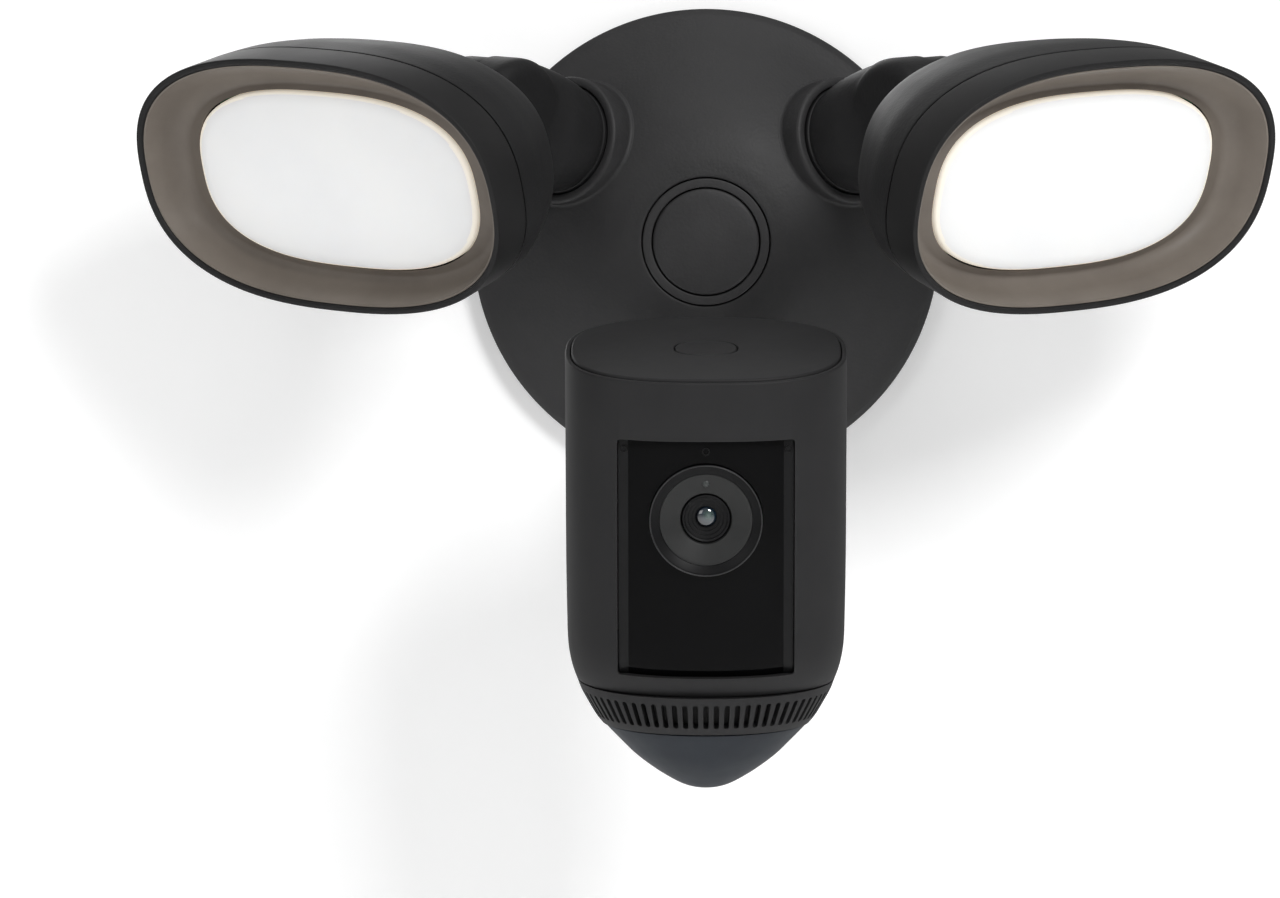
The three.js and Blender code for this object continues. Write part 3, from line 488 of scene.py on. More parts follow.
def board_look(name):
    """Circuit board: green mask with traces that show as fine ridges."""
    look = Look(name)
    lines = look.cells(260, "F1")
    look.drive("Base Color", look.ramp(lines, [(0.1, (0.012, 0.11, 0.045)), (0.55, (0.02, 0.17, 0.07)),
                                               (0.8, (0.10, 0.22, 0.08))]))
    look.drive("Roughness", look.map(look.noise(200), 0.3, 0.7, 0.3, 0.45))
    look.bump(lines, 0.04 * MM, 0.6)
    return look.material


PAINT = grained("dark_paint", (0.0200, 0.0198, 0.0206), (0.0265, 0.0260, 0.0268), 0.52, 1700, 0.035,
                spec=0.32, cells=(1100, 0.055))
# Painted shade: a darker copy of the base's dark paint, for the arms, which lie in the heads' shadow, and for the
# heads' rear shells.
SHADED_CASE_PAINT = grained("case_paint_painted_shade", (0.0085, 0.0084, 0.0089), (0.0120, 0.0118, 0.0124), 0.56, 1700, 0.03,
                     spec=0.24, cells=(1100, 0.045))
PLASTIC = grained("dark_plastic", (0.0135, 0.0133, 0.0140), (0.0180, 0.0177, 0.0184), 0.60, 2600, 0.012,
                  spec=0.25)
BEZEL = grained("bezel_plastic", (0.0095, 0.0093, 0.0096), (0.0135, 0.0131, 0.0135), 0.58, 2200, 0.012,
                spec=0.24)
CAP = grained("cap_plastic", (0.0260, 0.0256, 0.0266), (0.0330, 0.0324, 0.0334), 0.50, 1700, 0.03, spec=0.32,
              cells=(1100, 0.045))
WARM = grained("warm_grey", (0.150, 0.128, 0.108), (0.185, 0.160, 0.136), 0.5, 1800, 0.012, spec=0.35)
CONE = grained("cone_grey", (0.0190, 0.0195, 0.0195), (0.0250, 0.0255, 0.0250), 0.5, 2600, 0.008, spec=0.25)
BLACK_MATT = grained("black_matt", (0.0035, 0.0035, 0.004), (0.006, 0.006, 0.0065), 0.5, 2600, 0.006,
                     spec=0.2)
RUBBER = grained("seal", (0.012, 0.012, 0.012), (0.02, 0.02, 0.02), 0.75, 1400, 0.02, spec=0.3)
FOAM = grained("foam", (0.018, 0.018, 0.018), (0.03, 0.03, 0.03), 0.9, 900, 0.08, spec=0.2,
               cells=(1500, 0.12))
CONNECTOR = grained("connector", (0.62, 0.62, 0.6), (0.7, 0.7, 0.67), 0.4, 1500, 0.01)
BLACK_GLOSS = gloss("gloss_black", (0.0010, 0.0010, 0.0012), (0.0019, 0.0019, 0.0021), 0.06, 0.0, 0.08)
STRIP = gloss("window_strip", (0.0045, 0.0045, 0.0048), (0.0065, 0.0065, 0.0070), 0.30, 0.0, 0.18)
TRIM = gloss("lens_trim", (0.0035, 0.0035, 0.0038), (0.0055, 0.0055, 0.0060), 0.38, 0.0, 0.14)
LIP = gloss("lens_lip", (0.012, 0.012, 0.013), (0.018, 0.018, 0.019), 0.3, 0.0, 0.5)
LED = gloss("led", (0.030, 0.034, 0.033), (0.042, 0.047, 0.046), 0.3, 0.0, 0.4)
DOME = dome_look("dome")
# Lens glass with a painted highlight and a painted reflection of its coating.
SHEEN_GLASS = painted_sheen_glass_look("lens")
OPAL = opal("opal", (0.74, 0.75, 0.76), (0.80, 0.805, 0.80), (1.0, 0.98, 0.96), 0.17)
OPAL_EDGE = opal("opal_edge", (0.76, 0.73, 0.66), (0.82, 0.79, 0.72), (1.0, 0.88, 0.72), 0.34)
BOARD = board_look("board")
STEEL = metal("steel", (0.48, 0.48, 0.49), (0.62, 0.62, 0.63), 0.32, 0.01)
CASTING = metal("casting", (0.45, 0.46, 0.47), (0.58, 0.59, 0.6), 0.45, 0.04, 900)


def finish(obj, look, body, slot, *nodes):
    obj.data.materials.clear()
    obj.data.materials.append(look)
    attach(obj, body)
    if nodes:
        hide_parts(*nodes)
    return obj


# ------------------------------------------------------------------ base

DOME_EDGE = [(60, 2.3), (60, 5.4), (58.5, 6.9)]
DOME_CURVE = [(58.5, 6.9), (54, 9.6), (47, 14.5), (38, 20.6), (29, 25.3), (22, 27.4), (17.4, 28)]
CAP_SEAT = 24
COLLAR_R = 16.6
COLLAR_TOP = 0.6
SEAT_R = 14.35


def dome_rows():
    curve = flow(turned(DOME_CURVE), 8)
    edge = soften(turned(DOME_EDGE + [(57.6, 7.45)]), [0, 0.35, 0.35, 0], 4)
    lip = soften(turned([(17.4, 28), (16.4, 28.0), (16.4, CAP_SEAT), (4, CAP_SEAT)]), [0, 0.4, 0.3, 0], 4)
    return edge[:-1] + curve[2:] + lip[1:]


DOME_TABLE = np.array(flow(turned(DOME_CURVE), 8))[::-1]


def meet_dome(origin, direction):
    """Height along a direction, in mm, at which a line leaves the dome."""
    low, high = -30.0, 6.0
    for _ in range(40):
        mid = (low + high) / 2
        p = origin + direction * mid
        outside = -p.y > np.interp(math.hypot(p.x, p.z), DOME_TABLE[:, 0], DOME_TABLE[:, 2])
        low, high = (low, mid) if outside else (mid, high)
    return high


def boss(name, matrix, profile, radius, top, blend, count=144):
    """Boss that grows out of the dome: a turned mouth, a wall and a fillet at its foot."""
    o = matrix.translation / MM
    ex, ey, ez = (Vector(matrix.col[i][:3]) for i in range(3))
    rays = [ex * math.cos(TAU * k / count) + ey * math.sin(TAU * k / count) for k in range(count)]
    rows = [[o + e * r + ez * t for e in rays] for r, t in profile]
    foot = [[] for _ in range(8)]
    for e in rays:
        t = min(meet_dome(o + e * radius, ez), top - 1.1)
        start = o + e * radius + ez * min(t + blend, top - 0.95)
        corner = o + e * radius + ez * t
        reach = o + e * (radius + blend)
        end = reach + ez * meet_dome(reach, ez)
        for i in range(7):
            w = i / 6
            foot[i].append(start * (1 - w) ** 2 + corner * 2 * w * (1 - w) + end * w * w)
        foot[7].append(end + e * 0.3 - ez * 0.5)
    verts = [v * MM for row in rows + foot for v in row]
    faces = [(r * count + k, r * count + (k + 1) % count, (r + 1) * count + (k + 1) % count,
              (r + 1) * count + k) for r in range(len(rows) + 7) for k in range(count)]
    return new_object(name, verts, faces, 40)


def collar_profile():
    top, r = COLLAR_TOP, COLLAR_R
    return [(8.7, -8), (8.7, -1.9), (8.8, -1.8), (SEAT_R - 0.15, -1.8), (SEAT_R, -1.65), (SEAT_R, top - 0.25),
            (SEAT_R + 0.08, top - 0.08), (SEAT_R + 0.25, top), (r - 0.9, top), (r - 0.45, top - 0.12),
            (r - 0.12, top - 0.45), (r, top - 0.9)]


def plug(pairs, matrix):
    return loft("tool", turned(pairs), matrix, 96)


def neck_frame():
    root, end = Vector((0, -0.012, -0.033)), Vector((0, -0.048, -0.046))
    z = (end - root).normalized()
    x = Vector((0, 0, 1)).cross(z).normalized()
    return basis(root, x, z.cross(x), z)


def build_base():
    inside = turned([(4, 21.4), (26, 21.4), (36.6, 17.7), (45.6, 11.8), (52.6, 6.9), (57, 4.4), (57.3, 2.3)])
    dome = loft("base_dome", dome_rows() + soften(inside, 1.5), BASE, 192, closed=True)
    neck = neck_frame()
    boolean(dome, plug([(0, -20), (5, -20), (5, 1.6), (10.3, 1.6), (10.3, 30), (0, 30)], neck))
    pieces = [dome]
    for side in ("left", "right"):
        boolean(dome, plug([(0, -20), (8.7, -20), (8.7, 0), (0, 0)], ARM[side]))
        pieces.append(boss("collar", ARM[side], collar_profile(), COLLAR_R, COLLAR_TOP, 0.9))
        tube = soften(turned([(8.7, -10), (14.5, -10), (14.5, -3.2), (8.7, -3.2)]), 0.4, 3, True)
        pieces.append(loft("rear_boss", tube, ARM[side], 72, closed=True))
    tube = soften(turned([(5, -9), (12.5, -9), (12.5, 1.2), (5, 1.2)]), 0.4, 3, True)
    pieces.append(loft("neck_boss", tube, neck, 72, closed=True))
    shell = merge("base_shell", *pieces)
    shell.data.shade_smooth()
    shell.data.set_sharp_from_angle(angle=math.radians(38))
    finish(shell, PAINT, "base", "dark_paint", "base_housing")
    rows = soften(turned([(52, 0.0), (58, 0.0), (58, 2.0), (52, 2.0)]), 0.5, 3, True)
    finish(loft("foam_gasket", rows, BASE, 160, closed=True), FOAM, "base", "foam", "wall_gasket")
    rows = soften(turned([(13.85, 24.3), (16.1, 24.3), (16.1, 28.35), (13.85, 28.35)]),
                  [0.1, 0.1, 0.35, 0.35], 5, True)
    finish(loft("cap_trim", rows, BASE, 128, closed=True), CAP, "base", "dark_plastic", "cap_ring")
    rows = soften(turned([(0, 27.3), (10.6, 27.3), (10.6, 24.3), (12.5, 24.3), (13.5, 24.9), (13.5, 28.5),
                          (11.5, 28.8), (0, 29.0)]), [0, .2, .2, .3, .3, .6, 3, 0], 6)
    finish(loft("bolt_cap", rows, BASE, 128), CAP, "cap", "cap_plastic", "centre_cap")


# ------------------------------------------------------------------ arms

KNUCKLE_R = 15.5
KNUCKLE_HALF = 10.4
TONGUE_R = 15.0
TONGUE_T = 8.8
LAP = 1.0
INWARD = {"left": 1, "right": -1}


def across_frame(m, y, z, k):
    """Frame on the tilt axis at (y, z) of m, its z axis towards the middle of the light."""
    return m @ basis(Vector((0, y * MM, z * MM)), Vector((0, 1, 0)), Vector((0, 0, k)), Vector((k, 0, 0)))


def smooth_blend(obj, voxel, rounds, sharp=60):
    remesh = obj.modifiers.new("even", "REMESH")
    remesh.mode = "VOXEL"
    remesh.voxel_size = voxel * MM
    blend = obj.modifiers.new("blend", "SMOOTH")
    blend.factor = 0.6
    blend.iterations = rounds
    return settle(obj, sharp)


def build_arm(side):
    m, k = ARM[side], INWARD[side]
    rows = [ring(0, 0, -9.2), ring(8.4, 8.4, -9.2), ring(8.4, 8.4, -1.4)]
    rows += soften(turned([(8.4, -1.4), (13.9, -1.4), (13.9, 1.15), (13.3, 1.35), (0, 1.35)]),
                   [0, 0.2, 0.25, 0.2, 0], 4)[1:]
    flange = loft("flange", rows, m, 128)
    stem = flow([ring(13.5, 13.7, 0.6), ring(13.5, 15, 6, 2.1), ring(12.9, 15.7, 11, 2.2),
                 ring(11.6, 16, 14.8, 2.3), ring(10.5, 16.1, 19, 2.5), ring(10.2, 15.8, 24.6, 2.7)], 6)
    body = loft("arm", [ring(0, 0, 0.6)] + stem + [ring(0, 0, 24.6)], m, 128)
    across = across_frame(m, 0, PIVOT_L, k)
    w, r = KNUCKLE_HALF, KNUCKLE_R
    eye = soften(turned([(0, -w), (r, -w), (r, w), (0, w)]), [0, 4.4, 4.4, 0], 10)
    boolean(body, loft("eye", eye, across, 128), "UNION")
    smooth_blend(body, 0.45, 22)
    boolean(body, loft("room", turned([(0, -20), (TONGUE_R + 0.4, -20), (TONGUE_R + 0.4, -LAP), (0, -LAP)]),
                       across, 128), sharp=45)
    above = prism("above", rounded_outline(20, 50, 0.1, 1, -k * (10 + LAP)), PIVOT_L - 9, PIVOT_L + 31, m)
    boolean(body, above, sharp=45)
    bevel(body, 0.35, 50, 3, 45)
    arm = merge(side + "_arm_casting", flange, body)
    arm.data.shade_smooth()
    arm.data.set_sharp_from_angle(angle=math.radians(44))
    finish(arm, SHADED_CASE_PAINT, side + "_arm", "dark_paint", side + "_swivel_arm")


# ------------------------------------------------------------------ flood heads

HEAD_A, HEAD_B, HEAD_N = 56.7, 33.0, 2.53
BEZEL_T = 12.0
LENS_A, LENS_B, LENS_N, LENS_T = 43.6, 23.0, 2.68, 8.6
SKEW = math.tan(HEAD_SKEW)


def head_ring(k, t, inset=0.0, n=HEAD_N):
    return ring(HEAD_A * k - inset, HEAD_B * k - inset, -t, n, -SKEW * t)


def lens_ring(t, grow=0.0):
    return ring(LENS_A + grow, LENS_B + grow, -t, LENS_N, -SKEW * LENS_T)


# Outside of the rear shell: depth behind the rim, width and height against the rim's, and lift
SHELL = [(12.4, 0.985, 0.985, 1.5), (19.5, 0.96, 0.965, 2.4), (24.5, 0.925, 0.93, 3.2),
         (29.5, 0.881, 0.885, 4.0), (36.5, 0.805, 0.815, 4.6), (42.5, 0.712, 0.7, 4.2),
         (48, 0.515, 0.51, 2.9), (51, 0.285, 0.295, 1.4), (52, 0, 0, 1.0)]


def shell_ring(row, forward=0.0, inset=0.0):
    t, ka, kb, lift = row
    depth = t - forward
    return ring(max(HEAD_A * ka - inset, 0), max(HEAD_B * kb - inset, 0), -depth, HEAD_N, lift - SKEW * depth)


def rear_shell(m, side):
    outer = flow([shell_ring(row) for row in SHELL], 6)
    outer[-1][0] = outer[-1][1] = 0.0
    inner = [ring(0, 0, -46.5, HEAD_N, 3.4 - SKEW * 46.5)]
    inner += [shell_ring(row, 2.6, 2.6) for row in SHELL[5:0:-1]]
    front = soften([shell_ring(SHELL[0], 0, 2.6), outer[0], outer[1]], [0, 0.25, 0], 4)
    shell = loft("shell", inner + front + outer[2:], m, 176)
    p = m.inverted() @ PIVOT[side] / MM
    r = TONGUE_R
    outline = [(p.y + r * math.cos(a), p.z + r * math.sin(a)) for a in np.linspace(math.pi, TAU, 65)]
    outline += [(p.y + r - 1.3, p.z + 5.5), (p.y + r - 1.8, p.z + 9), (p.y + r - 1.3, p.z + 13),
                (p.y + r, p.z + 18), (p.y + 20, -44), (p.y - 14, -44),
                (p.y - r + 0.4, p.z + 18), (p.y - r + 1.6, p.z + 13),
                (p.y - r + 1.8, p.z + 9), (p.y - r + 1.3, p.z + 5.5)]
    sideways = m @ basis(Vector((0, 0, 0)), Vector((0, 1, 0)), Vector((0, 0, 1)), Vector((1, 0, 0)))
    near, far = sorted((-INWARD[side] * (LAP + 0.3), -INWARD[side] * (LAP + 0.3 + TONGUE_T)))
    tongue = bevel(prism("tongue", outline, near, far, sideways), 1.1, 40, 4)
    return merge(side + "_rear_casting", shell, tongue)


def bezel_rows():
    t = 12.0
    foot = ring(HEAD_A * 0.985, HEAD_B * 0.985, -t, HEAD_N, 1.5 - SKEW * t)
    rows = [head_ring(1, t, 3.2), foot, head_ring(1, 0), head_ring(1, 0, 1.45), head_ring(1, 0.9, 1.75)]
    return soften(rows, [0.2, 0.4, 0.6, 0.5, 0.2], 6, True)


def liner_rows():
    t = BEZEL_T
    back = soften([head_ring(1, 0.75, 1.85), head_ring(1, t - 0.4, 3.3),
                   lens_ring(t - 0.4, 1), lens_ring(9.0, 0.35)], [0.15, 0.2, 0.1, 0.2], 3)
    bowl = soften([lens_ring(9.0, 0.35), head_ring(1, 10.6, 7.6),
                   head_ring(1, 8.0, 4.9), head_ring(1, 0.85, 2.25)], [0, 2.2, 2.6, 0.2], 12)
    return back + bowl[1:]


def lamp_rows():
    t = LENS_T
    back = -SKEW * t
    rows = [ring(0, 0, -t - 3, LENS_N, back), lens_ring(t + 3, 0), lens_ring(t - 0.2, 0),
            lens_ring(t - 1.0, -2.2), lens_ring(t - 1.7, -12), ring(0, 0, -t + 2.1, LENS_N, back)]
    return soften(rows, [0, 0.3, 0.9, 1.5, 5, 0], 6)


def warm_edge(obj, m):
    """Gives the rounded edge of the lamp its warmer material."""
    obj.data.materials.append(OPAL_EDGE)
    back = m.inverted()
    for face in obj.data.polygons:
        p = back @ face.center / MM
        x, y = abs(p.x) / LENS_A, abs(p.y + SKEW * LENS_T) / LENS_B
        if (x**LENS_N + y**LENS_N) ** (1 / LENS_N) > 0.972:
            face.material_index = 1


def build_head(side):
    m = RIM[side]
    body = side + "_head"
    finish(rear_shell(m, side), SHADED_CASE_PAINT, body, "dark_paint", side + "_rear_shell")
    finish(loft(side + "_bezel_ring", bezel_rows(), m, 176, closed=True),
           BEZEL, body, "dark_plastic", side + "_bezel")
    finish(loft(side + "_liner", liner_rows(), m, 176, closed=True),
           WARM, body, "warm_grey", side + "_reflector")
    lamp = finish(loft(side + "_opal_lens", lamp_rows(), m, 176), OPAL, body, "opal", side + "_diffuser")
    warm_edge(lamp, m)


# ------------------------------------------------------------------ camera

BODY_W, BODY_DEEP = 34.2, 33.5
TOP_SLOPE, SEAM_SLOPE, DOME_SLOPE = 0.066, -0.027, -0.062
WINDOW_W, WINDOW_TOP, WINDOW_BOTTOM = 42.6, -16.0, -74.4
BODY_SKIN = [
    (0.4, 1, 2.65, 0.066), (-12, 0.9995, 2.64, 0.058), (-24, 0.999, 2.62, 0.05), (-49, 0.997, 2.5, 0.03),
    (-64, 0.991, 2.4, 0.0), (-71, 0.985, 2.32, -0.014), (-75, 0.969, 2.28, -0.02), (-78, 0.947, 2.24, -0.024),
    (-80.2, 0.924, 2.2, SEAM_SLOPE),
]


def body_ring(z, k, n, slope, inset=0.0):
    return ring(BODY_W * k - inset, BODY_DEEP * (0.98 * k + 0.02) * k - inset, z, n, 0, slope)


def skin_rows(inset=0.0, steps=5):
    return flow([body_ring(*row, inset) for row in BODY_SKIN], steps)


def window_prism(grow, low, high, r=2.4):
    h = WINDOW_TOP - WINDOW_BOTTOM + 2 * grow
    mid = (WINDOW_TOP + WINDOW_BOTTOM) / 2
    outline = rounded_outline(WINDOW_W + 2 * grow, h, r, 8, 0, mid)
    return prism("window_tool", outline, low, high, BODY @ FRONT)


SKIN_TABLE = np.array(skin_rows(0.0))[::-1]


def front_y(x, z, inset):
    """How far forward the front of the body lies, less inset."""
    at = z
    for _ in range(4):
        a, b, n, slope = (np.interp(at, SKIN_TABLE[:, 2], SKIN_TABLE[:, i]) for i in (0, 1, 3, 5))
        y = -(b - inset) * (1 - min(abs(x) / (a - inset), 0.999) ** n) ** (1 / n)
        at = z - slope * y
    return y


def window_slab():
    """Glass of the window: a nearly flat middle and a strip that rises along each side."""
    half, strip = WINDOW_W / 2 - 0.12, 2.5
    inner = half - strip
    xs = [-half, -half + 0.12] + list(np.linspace(-half + 0.5, -inner - 0.3, 4)) + [-inner, -inner + 0.3]
    xs += list(np.linspace(-inner + 1, inner - 1, 40)) + [-v for v in xs[::-1]]
    zs = np.linspace(WINDOW_BOTTOM + 0.12, WINDOW_TOP - 0.12, 48)
    verts = []
    for back in (0, 1.8):
        for z in zs:
            for x in xs:
                rise = min(max((abs(x) - inner) / strip, 0), 1)
                edge = 0.1 if abs(x) > half - 0.05 or z in (zs[0], zs[-1]) else 0.0
                verts.append((x, front_y(x, z, 2.1 - 1.1 * rise + edge) + back, z))
    wide, high = len(xs), len(zs)
    count = wide * high
    faces = []
    for j in range(high - 1):
        for i in range(wide - 1):
            a = j * wide + i
            faces.append((a, a + 1, a + wide + 1, a + wide))
            faces.append((count + a, count + a + wide, count + a + wide + 1, count + a + 1))
    border = [i for i in range(wide)] + [j * wide + wide - 1 for j in range(1, high)]
    border += ([(high - 1) * wide + i for i in range(wide - 2, -1, -1)]
               + [j * wide for j in range(high - 2, 0, -1)])
    for k, a in enumerate(border):
        b = border[(k + 1) % len(border)]
        faces.append((a, count + a, count + b, b))
    return new_object("window_panel", [BODY @ (Vector(v) * MM) for v in verts], faces, 50)


def build_body():
    outside = skin_rows()
    top = body_ring(*BODY_SKIN[0])
    rim = soften([body_ring(-12, 0.9995, 2.64, 0.058), top,
                  [top[0] - 1.2, top[1] - 1.2, 0.4, 2.65, 0, TOP_SLOPE],
                  [top[0] - 1.2, top[1] - 1.2, -1.4, 2.65, 0, TOP_SLOPE],
                  [top[0] - 2.4, top[1] - 2.4, -1.4, 2.65, 0, TOP_SLOPE]], [0, 0.55, 0.35, 0.1, 0], 5)
    rim = rim[::-1][:-1]
    base = BODY_SKIN[-1]
    foot = soften([body_ring(*BODY_SKIN[-2]), body_ring(*base), body_ring(*base, 2.4)], [0, 0.16, 0], 3)
    inner = skin_rows(2.6)[::-1]
    rows = rim + outside[6:-5] + foot[1:] + inner[:-4]
    shell = loft("camera_shell", rows, BODY, 192, closed=True)
    boolean(shell, window_prism(0.0, 18, 60, 0.9))
    bevel(shell, 0.22, 55, 2, 34)
    finish(shell, PLASTIC, "camera", "dark_plastic", "body_shell")

    panel = window_slab()
    boolean(panel, plug([(0, 10), (13.75, 10), (13.75, 60), (0, 60)], LENS))
    finish(panel, BLACK_GLOSS, "camera", "gloss_black", "window")
    panel.data.materials.append(STRIP)
    back = BODY.inverted()
    for face in panel.data.polygons:
        if abs((back @ face.center).x) > (WINDOW_W / 2 - 2.62) * MM:
            face.material_index = 1


def top_row(a, b, z, n=2.65):
    return ring(a, b, z, n, 0, TOP_SLOPE)


def build_top():
    a, b = BODY_W - 1.5, BODY_DEEP - 1.5
    hole_a, hole_b = 7.8, 7.45
    rows = soften([top_row(hole_a, hole_b, -1.2, 2.4), top_row(a, b, -1.2), top_row(a, b, 0.95),
                   top_row(hole_a, hole_b, 0.95, 2.4)], [0, 0.1, 0.6, 0.3], 5, True)
    finish(loft("top_plate", rows, BODY, 176, closed=True), PLASTIC, "camera", "dark_plastic", "top_cover")
    a, b = 7.5, 7.15
    rows = soften([top_row(0, 0, -5), top_row(2, 2, -5, 2), top_row(2, 2, -1.9, 2),
                   top_row(a + 1.2, b + 1.2, -1.9, 2.4), top_row(a + 1.2, b + 1.2, -1.5, 2.4),
                   top_row(a, b, -1.5, 2.4), top_row(a, b, 1.0, 2.4),
                   top_row(a - 2.2, b - 2.2, 0.85, 2.4), top_row(0, 0, 0.75, 2.4)],
                  [0, .2, 0, 0, 0, 0, 0.5, 1.2, 0], 5)
    finish(loft("setup_key", rows, BODY, 112), PLASTIC, "button", "button_plastic", "setup_button")


def build_lens():
    def lathe(name, pairs, radii, look, slot, node, segments=112, closed=True, matrix=LENS):
        rows = soften(turned(pairs), radii, 5, closed)
        return finish(loft(name, rows, matrix, segments, closed), look, "camera", slot, *node)

    lathe("lens_bezel", [(11.2, 27), (13.5, 27), (13.5, 32.5), (13.1, 32.5), (11.2, 31.7)],
          [0, 0, .1, .1, .1], TRIM, "lens_trim", ["lens_ring"])
    lathe("lens_lip", [(13.25, 32.3), (13.6, 32.3), (13.6, 32.85), (13.25, 32.85)], [0, 0, .16, .16],
          LIP, "lens_trim", [])
    lathe("lens_funnel", [(5.9, 28), (11.15, 28), (11.15, 31.65), (10.7, 31.6), (6.2, 30.0)],
          [0, 0, .1, .3, .25], CONE, "cone_grey", ["lens_cone"])
    lathe("lens_tube", [(0, 26.6), (2.55, 26.6), (2.55, 27.5), (3.4, 27.6), (3.4, 28.1), (4.3, 28.25),
                        (4.3, 28.75), (5.1, 28.9), (5.1, 29.4), (5.6, 29.7), (5.85, 29.4), (5.85, 25),
                        (0, 25)],
          [0, 0, .15, .1, .1, .1, .1, .1, .15, .15, .1, 0, 0], BLACK_MATT, "dark_plastic",
          ["lens_barrel"], closed=False)
    lathe("front_glass", [(0, 26.8), (2.5, 26.8), (2.5, 27.7), (1.7, 28.3), (0, 28.65)], [0, .05, .2, 1.0, 0],
          SHEEN_GLASS, "lens", ["lens_glass"], closed=False)
    led = LENS @ Matrix.Translation((0, 0.0088, 0))
    lathe("status_light", [(0, 28.7), (0.85, 28.7), (0.85, 31.05), (0.5, 31.3), (0, 31.4)],
          [0, 0, .2, .3, 0], LED, "led", ["status_led"], 32, False, led)
    for name, x, z, r in (("eye_mic", 0, -18.8, 0.7), ("eye_left", -19.7, -18.6, 0.65),
                          ("eye_right", 19.7, -18.6, 0.65)):
        spot = BODY @ basis(Vector((x * MM, 0, z * MM)), Vector((1, 0, 0)), Vector((0, 0, 1)),
                            Vector((0, -1, 0)))
        d = -front_y(x, z, 2.1 if x == 0 else 1.5)
        lathe(name, [(0, d - 1.6), (r + 0.25, d - 1.6), (r + 0.25, d + 0.22), (r, d + 0.25),
                     (r - 0.1, d - 0.8), (0, d - 1.0)],
              [0, 0, .1, .08, .1, 0], STRIP, "lens_trim", [], 36, False, spot)


# ------------------------------------------------------------------ lower end


def lower_ring(k, z, slope=DOME_SLOPE, inset=0.0, n=2.15):
    return ring(BODY_W * k - inset, BODY_DEEP * k * 0.985 - inset, z, n, 0, slope)


GRILLE = [(0.921, -80.45, SEAM_SLOPE), (0.893, -83, -0.035), (0.845, -86.1, -0.046), (0.789, -89.4, -0.056),
          (0.745, -91.35, DOME_SLOPE)]
DOME_SKIN = [(0.729, -91.7), (0.692, -93.1), (0.608, -96.1), (0.515, -99.3), (0.41, -102.2), (0.304, -104.7),
             (0.186, -107.0), (0.092, -108.05), (0.0, -108.35)]


def facing(across, a, b, n=2.6):
    """Angle that a flat fronted oval faces, at a part of its half width from the middle."""
    deep = (1 - abs(across) ** n) ** (1 / n)
    return math.copysign(math.atan2(abs(across) ** (n - 1) / a, deep ** (n - 1) / b), across)


SLOTS_ROUND = 72
FRONT_SLOTS = slice(38, 71)
SLOT_LEAN = math.radians(28)
SLOT_Z = -86.0
SLOT_RISE = 1.25


def build_lower():
    outer = flow([lower_ring(*row) for row in GRILLE], 5)
    inner = flow([lower_ring(*row, 2.2) for row in GRILLE], 2)[::-1]
    band = loft("grille_band", outer + inner, BODY, 192, closed=True)
    slots = []
    row = lower_ring(*GRILLE[2])
    a, b, n = row[0], row[1], row[3]
    for angle in even_angles(row, SLOTS_ROUND)[FRONT_SLOTS]:
        across = math.copysign(abs(math.cos(angle)) ** (2 / n), math.cos(angle))
        deep = abs(math.sin(angle)) ** (2 / n)
        turn = facing(across, a, b)
        height = SLOT_Z + SLOT_RISE * deep
        place = Matrix.Translation((across * a * MM, -deep * b * MM, height * MM))
        lean = Matrix.Rotation(SLOT_LEAN, 4, "X")
        face = BODY @ place @ Matrix.Rotation(turn, 4, "Z") @ lean @ FRONT
        slots.append(prism("slot", rounded_outline(1.3, 7.5, 0.6, 4), -3.6, 2.0, face))
    boolean(band, merge("slots", *slots))
    bevel(band, 0.14, 50, 1, 34)
    finish(band, PLASTIC, "camera", "dark_plastic", "speaker_grille")
    cloth = [(k, z + 0.2, slope) for k, z, slope in GRILLE]
    behind = loft("grille_cloth", flow([lower_ring(*row, 2.5) for row in cloth], 3)
                  + flow([lower_ring(*row, 3.1) for row in cloth], 3)[::-1], BODY, 96, closed=True)
    finish(behind, FOAM, "camera", "dark_plastic")
    skin = flow([lower_ring(k, z, DOME_SLOPE, 0, 2.0) for k, z in DOME_SKIN], 6)
    skin[-1][0] = skin[-1][1] = 0.0
    top = -89.4
    neck = soften([lower_ring(0.66, top, DOME_SLOPE, 0, 2), lower_ring(0.66, -91.7, DOME_SLOPE, 0, 2),
                   lower_ring(0.729, -91.7, DOME_SLOPE, 0, 2), skin[2]], [0, 0.1, 0.3, 0], 4)
    rows = [lower_ring(0, top)] + neck[:-1] + skin[2:]
    finish(loft("motion_dome", rows, BODY, 144), DOME, "camera", "dome", "pir_dome")


# ------------------------------------------------------------------ hinges and insides


def build_plain():
    fine = [
        ("camera_neck", 0.6, PAINT, "base", "dark_paint"), ("pan_link", 0.6, PAINT, "pan_link", "dark_paint"),
        ("rear_bracket", 0.5, PLASTIC, "camera", "dark_plastic"), ("pan_pin", 0.3, STEEL, "base", "steel"),
        ("tilt_pin", 0.3, STEEL, "camera", "steel"), ("wall_bracket", 0.25, STEEL, "base", "steel"),
        ("bracket_screw_left", 0.2, STEEL, "base", "steel"),
        ("bracket_screw_right", 0.2, STEEL, "base", "steel"),
        ("centre_bolt", 0.2, STEEL, "base", "steel"),
        ("neck_screw_left", 0.15, STEEL, "base", "steel"),
        ("neck_screw_right", 0.15, STEEL, "base", "steel"),
        ("power_board", 0.2, BOARD, "base", "board"),
        ("terminal_block", 0.25, CONNECTOR, "base", "connector"),
        ("left_retainer", 0.2, STEEL, "left_arm", "steel"),
        ("right_retainer", 0.2, STEEL, "right_arm", "steel"),
    ]
    for node, width, look, body, slot in fine:
        finish(polished(node, width), look, body, slot, node)


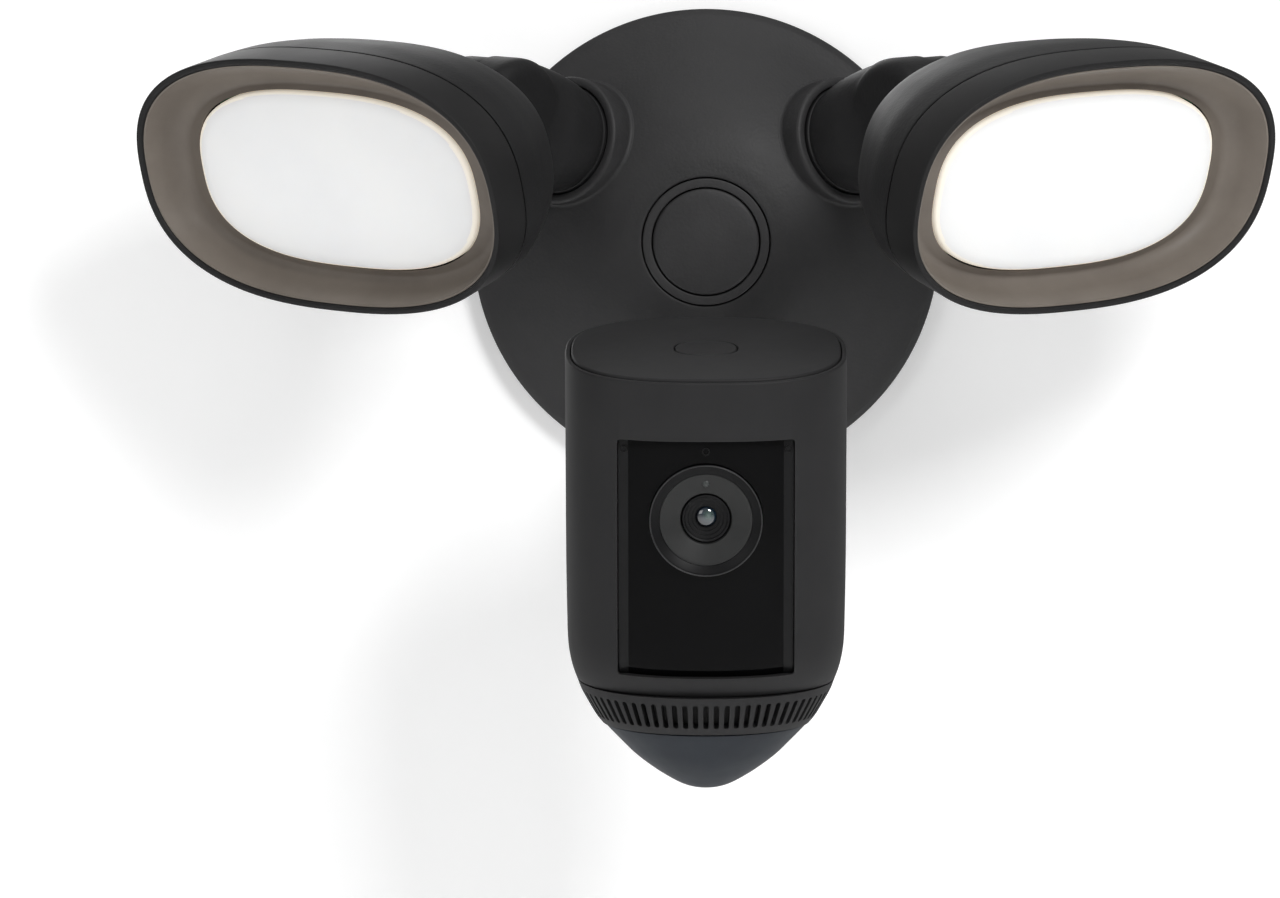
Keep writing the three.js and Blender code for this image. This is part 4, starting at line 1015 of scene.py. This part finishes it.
def dress_cad():
    """Procedural looks for the CAD pieces that stay, all of them inside the housings."""
    looks = {"steel": STEEL, "casting": CASTING, "seal": RUBBER, "board": BOARD, "dark_plastic": PLASTIC,
             "connector": CONNECTOR, "opal": OPAL, "warm_grey": WARM}
    slots = {s["node"]: s["material_slot"] for s in frame["record"]["subparts"]}
    for name, obj in frame["nodes"].items():
        look = looks.get(slots.get(name), PLASTIC)
        obj.data.materials.clear()
        obj.data.materials.append(look)


# ------------------------------------------------------------------ stage, light and camera


STAGE_GLOW = 0.22
STAGE_SIZE = 6.0
FLOOR_Z = -0.6
FRAME_WIDTH = 1280
FOCAL = 7752
SHIFT = -66
SENSOR = 36


def pale_look(name, tone):
    """Pale paint that can be seen through from behind."""
    material = bpy.data.materials.new(name)
    material.use_nodes = True
    nodes, links = material.node_tree.nodes, material.node_tree.links
    shader = nodes["Principled BSDF"]
    shader.inputs["Base Color"].default_value = (tone, tone, tone, 1)
    shader.inputs["Roughness"].default_value = 0.9
    shader.inputs["Emission Color"].default_value = (1, 1, 1, 1)
    shader.inputs["Emission Strength"].default_value = STAGE_GLOW
    clear = nodes.new("ShaderNodeBsdfTransparent")
    mix = nodes.new("ShaderNodeMixShader")
    links.new(nodes.new("ShaderNodeNewGeometry").outputs["Backfacing"], mix.inputs["Fac"])
    links.new(shader.outputs[0], mix.inputs[1])
    links.new(clear.outputs[0], mix.inputs[2])
    links.new(mix.outputs[0], nodes["Material Output"].inputs["Surface"])
    return material


def build_stage():
    size, drop = STAGE_SIZE, FLOOR_Z
    wall = new_object("wall", [(-size, 0.0004, drop), (size, 0.0004, drop), (size, 0.0004, size),
                               (-size, 0.0004, size)], [(0, 1, 2, 3)])
    if wall.data.polygons[0].normal.y > 0:
        wall.data.flip_normals()
    wall.data.materials.append(pale_look("wall_paint", 0.93))
    floor = new_object("floor", [(-size, -size, drop), (size, -size, drop), (size, size, drop),
                                 (-size, size, drop)], [(0, 1, 2, 3)])
    if floor.data.polygons[0].normal.z < 0:
        floor.data.flip_normals()
    floor.data.materials.append(pale_look("floor_paint", 0.8))
    wall.visible_glossy = False
    return wall


def area_light(name, place, target, size, power, colour=(1, 1, 1), size_y=None):
    data = bpy.data.lights.new(name, "AREA")
    data.shape = "RECTANGLE"
    data.size = size
    data.size_y = size_y or size
    data.energy = power
    data.color = colour
    obj = bpy.data.objects.new(name, data)
    obj.location = place
    obj.rotation_euler = (Vector(target) - Vector(place)).to_track_quat("-Z", "Y").to_euler()
    bpy.context.scene.collection.objects.link(obj)
    return obj


def build_light(wall):
    world = bpy.data.worlds.new("studio")
    bpy.context.scene.world = world
    world.use_nodes = True
    world.node_tree.nodes["Background"].inputs["Color"].default_value = (1, 1, 1, 1)
    world.node_tree.nodes["Background"].inputs["Strength"].default_value = 0.32
    area_light("key", (0.75, -1.5, 0.9), (0, -0.05, 0), 0.55, 18)
    area_light("fill", (-1.1, -1.5, 0.5), (0, -0.08, 0), 0.9, 4.5)
    area_light("top", (0.1, -0.5, 1.3), (0, -0.08, 0), 0.7, 3.0)
    back = area_light("back", (-0.6, 1.6, 0.7), (0, 0, 0), 1.2, 14)
    unblocked = bpy.data.collections.new("not_blocked_by_wall")
    unblocked.objects.link(wall)
    back.light_linking.blocker_collection = unblocked
    unblocked.collection_objects[0].light_linking.link_state = "EXCLUDE"


def build_camera():
    data = bpy.data.cameras.new("view")
    data.sensor_width = SENSOR
    data.lens = FOCAL / FRAME_WIDTH * SENSOR
    data.shift_x = SHIFT / FRAME_WIDTH
    data.clip_start = 0.05
    data.clip_end = 50
    obj = bpy.data.objects.new("view", data)
    place, target = Vector((0, -2.0, -0.011)), Vector((0, 0, -0.0533))
    obj.location = place
    obj.rotation_euler = (target - place).to_track_quat("-Z", "Y").to_euler()
    bpy.context.scene.collection.objects.link(obj)
    bpy.context.scene.camera = obj
    bpy.context.scene.view_settings.view_transform = "Standard"


build_camera()
dress_cad()
build_base()
for SIDE in ("left", "right"):
    build_arm(SIDE)
    build_head(SIDE)
build_body()
build_top()
build_lens()
build_lower()
build_plain()
build_light(build_stage())
